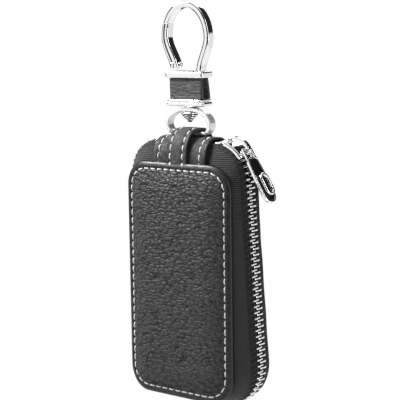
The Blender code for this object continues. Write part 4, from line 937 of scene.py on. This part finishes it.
def lower_pieces():
    """Stepped plate below the leather and the stepped rivet inside the ring."""
    shape = Shape()
    step_middle = LINK_FOOT - LOWER_STEP[2] / 2
    roll_middle = LOWER_ROLL_TOP - LOWER_ROLL[2] / 2
    shape.box((0.0, 0.0, step_middle), LOWER_STEP, 0.9, steps=4, edge_z=0.3)
    shape.box((0.0, 0.0, roll_middle), LOWER_ROLL, 1.0, steps=6, edge_z=1.0)
    shape.make("foot_plate", [CHROME], "hook", ["lower_plate"], 44.0, crisp=True)
    head = RING_TOP - RING_BAND - GAP
    profile = [(1.0, -40.4), (1.0, head), (2.5, head), (2.62, head - 0.12)]
    z = head - 0.48
    # The rows under each step take the near-black chrome: painted shade and painted reflection in
    # the steps.
    painted_shade_rows = []
    for radius in (3.9, 3.4, 2.4, 1.5):
        profile += [(radius - 0.18, z), (radius - 0.03, z - 0.06), (radius, z - 0.16),
                    (radius, z - 0.26), (radius - 0.10, z - 0.44), (radius - 0.30, z - 0.52)]
        z -= 0.95
        profile.append((max(radius - 0.8, 0.9), z + 0.05))
        painted_shade_rows += [len(profile) - 2, len(profile) - 1]
    profile += [(0.75, z - 0.3), (0.3, z - 0.4), (0.02, z - 0.42)]
    shape = Shape()
    sides = 48
    shape.turned(profile, sides=sides)
    for row in painted_shade_rows:
        shape.tags[row * sides:(row + 1) * sides] = [1] * sides
    shape.make("stepped_rivet", [CHROME, RECESS_PAINTED_SHADE], "hook", ["swivel_rivet"], 35.0,
               crisp=True)


def ring_piece():
    """D-shaped ring: flat band above, round bar at the foot."""
    shoulder, inner_half = RING_FOOT + RING_CORNER, RING_HALF - RING_CORNER
    path = [(RING_HALF * a, shoulder + (RING_TOP - shoulder) * b)
            for a, b in arc((0.0, 0.0), 1.0, 0, 180, 60, last=True)]
    path += arc((-inner_half, shoulder), RING_CORNER, 180, 270, 16, last=True)[1:]
    path += run((-inner_half, RING_FOOT), (inner_half, RING_FOOT), 12)[1:]
    path += arc((inner_half, shoulder), RING_CORNER, -90, 0, 16)

    def section(i):
        depth = min(1.8 + 2 * (path[i][1] - RING_FOOT), 4.2)
        edge = min(RING_BAND, depth) * (0.47 - 0.22 * min((depth - 1.8) / 2.4, 1.0))
        return [(u + RING_BAND / 2, v) for u, v in rounded_section(RING_BAND, depth, edge)]

    shape = Shape()
    shape.loft(sweep_xz(path, section, closed=True), closed=True)
    shape.make("swivel_band", [SATIN], "ring", ["swivel_ring"], 50.0, crisp=True)


# ---------------------------------------------------------------- slider and puller

def polar(angle_deg, rise, y):
    """A point by its angle round the zip's corner and its height above the zip's line."""
    angle = math.radians(angle_deg)
    radius = ZIP_CORNER_TOP + rise
    return Vector((CORNER_X + radius * math.cos(angle), y, CORNER_Z + radius * math.sin(angle)))


def slider_pieces():
    """Slider with flanges and a crown that the puller hangs on."""
    shape = Shape()
    steps, inner, outer, lip, edge = 24, 1.35, 2.45, 0.9, 0.7
    for outward in (1, -1):
        rings = []
        for i in range(steps + 1):
            share = i / steps
            nose = math.sqrt(max(1 - max((share - 0.86) / 0.16, 0.0) ** 2, 0.0))
            tail = math.sqrt(max(1 - max((0.1 - share) / 0.14, 0.0) ** 2, 0.0))
            half = (3.9 + 0.7 * share) * (0.72 + 0.28 * min(nose, tail))
            foot = half - 0.6
            section = [(-half, lip), (-foot, lip), (-foot, inner), (foot, inner), (foot, lip),
                       (half, lip)]
            flank = arc((half - edge, outer - edge), edge, 0, 90, 4, last=True)
            section += flank + [(-y, r) for y, r in reversed(flank)]
            angle = lerp(TAIL_DEG, HEAD_DEG, share)
            rings.append([tuple(polar(angle, outward * r, y)) for y, r in section])
        shape.loft(rings)
    post = ((-1, -1), (1, -1), (1, 1), (-1, 1))
    shape.loft([[tuple(polar(angle, a * 1.9, b * 0.4)) for a, b in post]
                for angle in (HEAD_DEG - 8.0, HEAD_DEG - 1.0)])
    for angle in (HEAD_DEG - 4.0, TAIL_DEG + 6.0):
        a = math.radians(angle)
        way = Vector((-math.sin(a), 0.0, math.cos(a)))
        shape.loft([[tuple(polar(angle, rise, v * radius) + way * u * radius * 0.8)
                     for u, v in circle(1.0, 24)]
                    for radius, rise in ((1.9, 2.3), (1.85, 2.6), (1.6, 2.8), (1.0, 2.88),
                                         (0.02, 2.9))])
    shape.make("zip_slider", [CHROME], "slider", ["slider_body"], 45.0, crisp=True)
    knots = []
    for share, rise in ((0.92, 0.0), (0.8, 0.42), (0.66, 0.74), (0.5, 0.93), (0.34, 1.0),
                        (0.2, 0.97), (0.1, 0.78), (0.05, 0.45), (0.05, 0.1)):
        spot = polar(lerp(TAIL_DEG, HEAD_DEG, share), lerp(CROWN_BASE, CROWN_RISE, rise), 0.0)
        knots.append((spot.x, spot.z))
    shape = Shape()
    shape.loft(sweep_xz(smooth_line(knots, 48), lambda i: rounded_section(
        0.9, 2.2 + 0.9 * (1 - min(i / 12, 1.0)), 0.3, 3)))
    shape.make("slider_bridge", [CHROME], "slider", ["slider_crown"], 50.0, crisp=True)


def puller_point(down, across, out):
    """A point of the puller by its distance down from the pin, sideways and off its face."""
    tilt = math.radians(PULLER_TILT)
    along = Vector((math.sin(tilt), 0.0, -math.cos(tilt)))
    off = Vector((math.cos(tilt), 0.0, math.sin(tilt)))
    pin = polar(PIN_DEG, PIN_RISE, 0.0)
    return tuple(pin + along * down + Vector((0.0, across, 0.0)) + off * out)


def puller_sweep(loop, section, level=0.0):
    """Rings of a section along a closed loop that lies in the puller."""
    return [[puller_point(a + db * u, b - da * u, level + v) for u, v in section]
            for (a, b), (da, db) in zip(loop, directions(loop, closed=True))]


def puller_outline(inset, steps=24):
    half, neck = PULL_HALF - inset, NECK_HALF - inset
    points = [(3.6 + inset, neck * 0.96), (3.9 + inset, neck), (5.4, lerp(neck, half, 0.25)),
              (7.4, (neck + half) / 2 + 0.1), (11.0, half * 0.97), (15.0, half)]
    tip = arc((PULL_LENGTH - PULL_HALF, 0.0), half, 90, -90, steps, last=True)
    return points + tip + [(a, -b) for a, b in reversed(points)]


def oval(length, width, sides):
    """Outline of a slot with round ends, its middle where the eyelet is."""
    points = []
    for a, b in circle(width / 2, sides):
        straight = (length - width) / 2 * (1 if a > 0 else -1)
        points.append((EYE_AT + straight + a, b))
    return points


def eye_slot(grow):
    band = 2 * (grow - EYE_BAND)
    return oval(EYE_LENGTH + band, EYE_WIDTH + band, 64)


def ray_hit(loop, angle):
    """Where a ray from the eyelet's middle leaves a closed loop."""
    dx, dy = math.cos(angle), math.sin(angle)
    best = 0.0
    for i, a in enumerate(loop):
        b = loop[(i + 1) % len(loop)]
        ex, ey = b[0] - a[0], b[1] - a[1]
        det = dx * ey - dy * ex
        if abs(det) < 1e-9:
            continue
        ax, ay = a[0] - EYE_AT, a[1]
        t = (ax * ey - ay * ex) / det
        u = (ax * dy - ay * dx) / det
        if t > 0 and -1e-6 <= u <= 1 + 1e-6:
            best = max(best, t)
    return (EYE_AT + dx * best, dy * best)


def plate_with_slot(shape, rim, low, high, edge, count=96):
    """A plate between an outer outline and the eyelet's slot, as matched loops."""
    def seen(loop):
        return [ray_hit(loop, 2 * math.pi * i / count) for i in range(count)]

    outer, outer_in = seen(rim(0.0)), seen(rim(edge))
    inner, inner_out = seen(eye_slot(0.0)), seen(eye_slot(edge))
    levels = ((outer_in, low), (outer, low + edge), (outer, high - edge), (outer_in, high),
              (inner_out, high), (inner, high - edge), (inner, low + edge), (inner_out, low))
    shape.loft([[puller_point(a, b, level) for a, b in loop] for loop, level in levels],
               closed=True)


def puller_pieces():
    """Tray with a raised rim, two arms and a bar, dark inlay and an oval eyelet."""
    half = PULL_THICK / 2
    floor = half - 0.5
    shape = Shape()
    plate_with_slot(shape, puller_outline, -half, floor, 0.16)
    rim = rounded_section(0.9, PULL_THICK, 0.32, 3)
    shape.loft(puller_sweep(puller_outline(0.45, 30), rim), closed=True)
    for side in (-1, 1):
        rings = []
        for down, across, wide in ((-0.7, 2.5, 1.4), (0.0, 2.5, 1.4), (1.4, 2.5, 1.4),
                                   (2.8, 2.55, 1.4), (3.9, 2.6, 1.5), (4.6, 2.7, 1.4)):
            section = rounded_section(wide, 1.4 if down > -0.5 else 0.9, 0.4, 3)
            rings.append([puller_point(down, side * across + u, v) for u, v in section])
        shape.loft(rings)
    shape.loft([[puller_point(a, float(across), b) for a, b in circle(0.68, 18)]
                for across in np.linspace(-3.0, 3.0, 9)])
    shape.make("pull_tray", [CHROME], "puller", ["puller_frame"], 45.0, crisp=True)
    shape = Shape()
    plate_with_slot(shape, lambda inset: puller_outline(1.0 + inset), floor + 0.02,
                    floor + 0.72, 0.14)
    shape.make("pull_inlay", [INLAY], "puller", ["puller_inlay"], 50.0, crisp=True)
    shape = Shape()
    centre = oval(EYE_LENGTH - EYE_BAND, EYE_WIDTH - EYE_BAND, 72)
    level = floor + GAP + 1.2
    shape.loft(puller_sweep(centre, circle(EYE_BAND / 2, 14), level), closed=True)
    shape.make("pull_eyelet", [CHROME], "puller", ["puller_eyelet"], 60.0)


# ---------------------------------------------------------------- inside

CUSHION_ROWS = ((25.0, -1.4), (20.0, -1.5), (15.0, -1.7), (9.0, -2.1), (6.0, -2.7), (4.4, -3.1),
                (3.5, -3.6), (3.4, -4.1), (3.7, -4.5), (4.4, -4.62), (6.0, -4.66), (8.0, -4.7),
                (10.0, -4.66), (13.0, -4.74), (17.0, -4.66), (21.0, -4.72), (25.0, -4.7))


def lining_cushion(name, front, body):
    """Lining over its pad, quilted on the side that is seen when the case is open."""
    rings = []
    for inset, lift in CUSHION_ROWS:
        ring = []
        for x, z in panel_outline(inset):
            quilt = 0.06 * math.sin(x * 0.8) * math.sin(z * 0.55) if lift < -4.3 else 0.0
            depth = edge_depth(z) + lift + quilt
            ring.append((x, -depth if front else depth, z))
        rings.append(ring)
    shape = Shape()
    shape.loft(rings, capped=False)
    count = len(rings[0])
    for base in (0, len(shape.points) - count):
        shape.close_ring(base, count)
    made = shape.make(name + "_lining_cushion", [LINING], body,
                      [name + "_lining", name + "_pad"], 70.0)


def inside_pieces():
    """Linings, tab with its rivet, split ring."""
    lining_cushion("front", True, "front")
    lining_cushion("rear", False, "case")
    top = STRAP_CREST - STRAP_THICK - GAP
    fold, y = top - TAB_LENGTH, TAB_REACH + 0.5
    line = run((-y, top), (-y, fold), 10) + arc((0.0, fold), y, 180, 360, 24, last=True)
    line += (run((y, fold), (y, top), 10) + [(y, top)])[1:]
    shape = Shape()
    shape.loft(sweep_yz(line, rounded_section(9.0, 1.0, 0.4, 3)))
    shape.make("key_tab", [STRAP_LEATHER], "case", ["inner_tab"], 60.0)
    shape = Shape()
    face = TAB_REACH + 1.0 + GAP * 0.2
    head = [(0.05, face + 0.62), (0.9, face + 0.58), (1.6, face + 0.36), (2.0, face), (0.8, face)]
    profile = [(r, -h) for r, h in head] + head[::-1]
    shape.turned(profile, (0.0, 0.0, top - TAB_LENGTH * 0.35), "Y", sides=32)
    shape.make("tab_snap_rivet", [CHROME], "case", ["tab_rivet"], crisp=True)
    rings = []
    sides = 96
    wire = rounded_section(*KEY_RING_WIRE, 0.3, 3)
    for i in range(sides * 2):
        angle = 2 * math.pi * i / sides
        y = KEY_RING_WIRE[1] * 1.5 * (i / sides - 1)
        a, c = math.sin(angle), -math.cos(angle)
        rings.append([(a * (KEY_RING_RADIUS + u), y + v, KEY_RING_Z + c * (KEY_RING_RADIUS + u))
                      for u, v in wire])
    shape = Shape()
    shape.loft(rings)
    shape.make("split_ring", [STEEL], "key_ring", ["key_ring"], 50.0)


# ---------------------------------------------------------------- the whole

def build():
    for node in ("gate_spring", "link_core"):
        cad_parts[node].data.materials.clear()
        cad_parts[node].data.materials.append(STEEL)
    leather_panel("front_leather", True, "front_panel", "front")
    leather_panel("rear_leather", False, "rear_panel", "case")
    reach = DEPTH_TOP - RIM + STRAP_THICK
    strap("wide_strap", STRAP_WIDTH, reach, STRAP_CREST, STRAP_SEAM, "hinge_strap")
    strap("ring_loop", LOOP_WIDTH, reach + GAP + STRAP_THICK, LOOP_CREST, LOOP_SEAM,
          "hanger_loop")
    total = len(tape_at_panel(0.0))
    everywhere = list(range(total))
    tape_skin("rear_band", 1, everywhere, "case", "rear_gusset", closed=True)
    tape_skin("top_band", -1, everywhere[total - CUT:] + everywhere[:CUT + 1], "case",
              "top_gusset")
    tape_skin("front_band", -1, everywhere[CUT:total - CUT + 1], "front", "front_gusset",
              bulged=True, drop=0.06)
    cut = distance_at_height(FIXED_TAPE_END)
    last = TRACK_TOTAL - FIRST_TOOTH
    teeth_piece("rear_teeth_row", "case", "rear_teeth", FIRST_TOOTH, last, 1, 0.25)
    teeth_piece("top_teeth_row_right", "case", "top_teeth_right", FIRST_TOOTH, cut, -1, 0.75)
    teeth_piece("front_teeth_row", "front", "front_teeth", cut + 0.4, TRACK_TOTAL - cut - 0.4,
                -1, 0.75)
    teeth_piece("top_teeth_row_left", "case", "top_teeth_left", TRACK_TOTAL - cut, last, -1, 0.75)
    middle = FIRST_TOOTH - GAP - STOP_LENGTH / 2
    stop_piece("end_stop_right", middle, "zip_stop_right")
    stop_piece("end_stop_left", TRACK_TOTAL - middle, "zip_stop_left")
    hook_piece()
    gate_piece()
    link_wrap("link_wrap_front", -1, "link_leather_front")
    link_wrap("link_wrap_rear", 1, "link_leather_rear")
    lower_pieces()
    ring_piece()
    slider_pieces()
    puller_pieces()
    inside_pieces()


build()


# ---------------------------------------------------------------- floor, light, camera

AIM = Vector((4.2, -0.2, -83.0)) * MM
DISTANCE = 523.0 * MM
AZIMUTH, ELEVATION, ROLL = 38.0, 9.2, -1.8
FLOOR_RADIUS, FLOOR_Z = 0.45, -0.215
WHITE = (1.0, 1.0, 1.0, 1.0)


def make_camera():
    data = bpy.data.cameras.new("camera")
    camera = placed("camera", data)
    data.sensor_width = 36.0
    data.lens = 108.0
    data.clip_start = 0.01
    data.clip_end = 30.0
    a, e = math.radians(AZIMUTH), math.radians(ELEVATION)
    back = Vector((math.sin(a) * math.cos(e), -math.cos(a) * math.cos(e), math.sin(e)))
    turn = (-back).to_track_quat("-Z", "Y").to_matrix()
    turn = turn @ Matrix.Rotation(math.radians(ROLL), 3, "Z")
    camera.matrix_world = Matrix.Translation(AIM + back * DISTANCE) @ turn.to_4x4()
    bpy.context.scene.camera = camera


def area_lamp(name, spot, size, power, aim=(0.0, 0.0, -0.1)):
    data = bpy.data.lights.new(name, "AREA")
    data.shape = "RECTANGLE"
    data.size, data.size_y = size
    data.energy = power
    lamp = placed(name, data)
    lamp.location = spot
    lamp.rotation_euler = (Vector(aim) - Vector(spot)).to_track_quat("-Z", "Y").to_euler()


def make_floor():
    """Pale floor that looks white to the camera and keeps a soft shadow."""
    g = new_graph("pale_floor")
    cloudy = g.noise(g.coords(scale=1.0), 3.0, 2.0)
    g.finish(g.mix(cloudy, (0.80, 0.80, 0.80), (0.84, 0.84, 0.84)), 0.8)
    glow = g.node("Emission", {"Color": WHITE, "Strength": 1.0}).outputs[0]
    ways = g.node("LightPath").outputs
    seen = g.math("MAXIMUM", g.mul(ways["Is Camera Ray"], 0.985),
                  g.mul(ways["Is Glossy Ray"], 0.95))
    blend = g.mix_shaders(seen, g.shader.outputs[0], glow)
    g.put(g.tree.nodes["Material Output"].inputs["Surface"], blend)
    mesh = bpy.data.meshes.new("floor")
    rim = circle(FLOOR_RADIUS, 96)
    mesh.from_pydata([(x, y, FLOOR_Z) for x, y in rim], [], [tuple(range(96))])
    mesh.materials.append(g.owner)
    placed("floor", mesh)


def make_world():
    """White studio; polished metal also sees its dark doorways and the dark round the camera."""
    world = bpy.data.worlds.new("studio")
    bpy.context.scene.world = world
    g = Graph(world)
    g.tree.nodes.clear()
    spot = g.node("TexCoord").outputs["Generated"]
    x, y, z = g.node("SeparateXYZ", {0: spot}).outputs
    azimuth = g.mul(g.math("ARCTAN2", x, g.mul(y, -1.0)), 180 / math.pi)

    def panel(centre, half, soft, low, high, soft_z):
        """A bright panel between two sides, in degrees, and two heights."""
        off = g.math("WRAP", g.math("SUBTRACT", azimuth, centre), 180.0, -180.0)
        inside = g.spread(g.math("ABSOLUTE", off), half, half + soft, 1.0, 0.0)
        return g.mul(inside, level(low, high, soft_z))

    def level(low, high, soft):
        return g.mul(g.spread(z, low - soft, low), g.spread(z, high, high + soft, 1.0, 0.0))

    def background(colour, strength):
        return g.node("Background", {"Color": colour, "Strength": strength}).outputs[0]

    front = panel(-31.0, 17.0, 3.0, -0.34, 0.40, 0.08)
    side = g.mul(panel(142.0, 24.0, 8.0, -1.2, 0.03, 0.08), 0.84)
    right = g.mul(panel(90.0, 8.0, 6.0, -1.2, 0.8, 0.1), 0.9)
    above = level(0.86, 1.2, 0.06)
    studio = g.math("MAXIMUM", g.math("MAXIMUM", front, side), right)
    studio = g.mad(g.math("MAXIMUM", studio, above), 0.98, 0.02)
    ways = g.node("LightPath").outputs
    lit = g.mix_shaders(ways["Is Glossy Ray"], background((0.95, 0.97, 1.0, 1.0), 0.14),
                        background(WHITE, studio))
    shown = g.mix_shaders(ways["Is Camera Ray"], lit, background(WHITE, 1.0))
    g.node("OutputWorld", {"Surface": shown})


make_camera()
make_floor()
make_world()
area_lamp("key", (-0.18, -0.115, 0.145), (0.13, 0.13), 2.15, (0.0, 0.0, -0.08))
area_lamp("fill", (0.8, -0.15, 0.1), (0.12, 0.9), 2.8)
area_lamp("back", (-0.4, 0.8, 0.6), (0.6, 0.6), 3.0)
bpy.context.scene.view_settings.view_transform = "Standard"
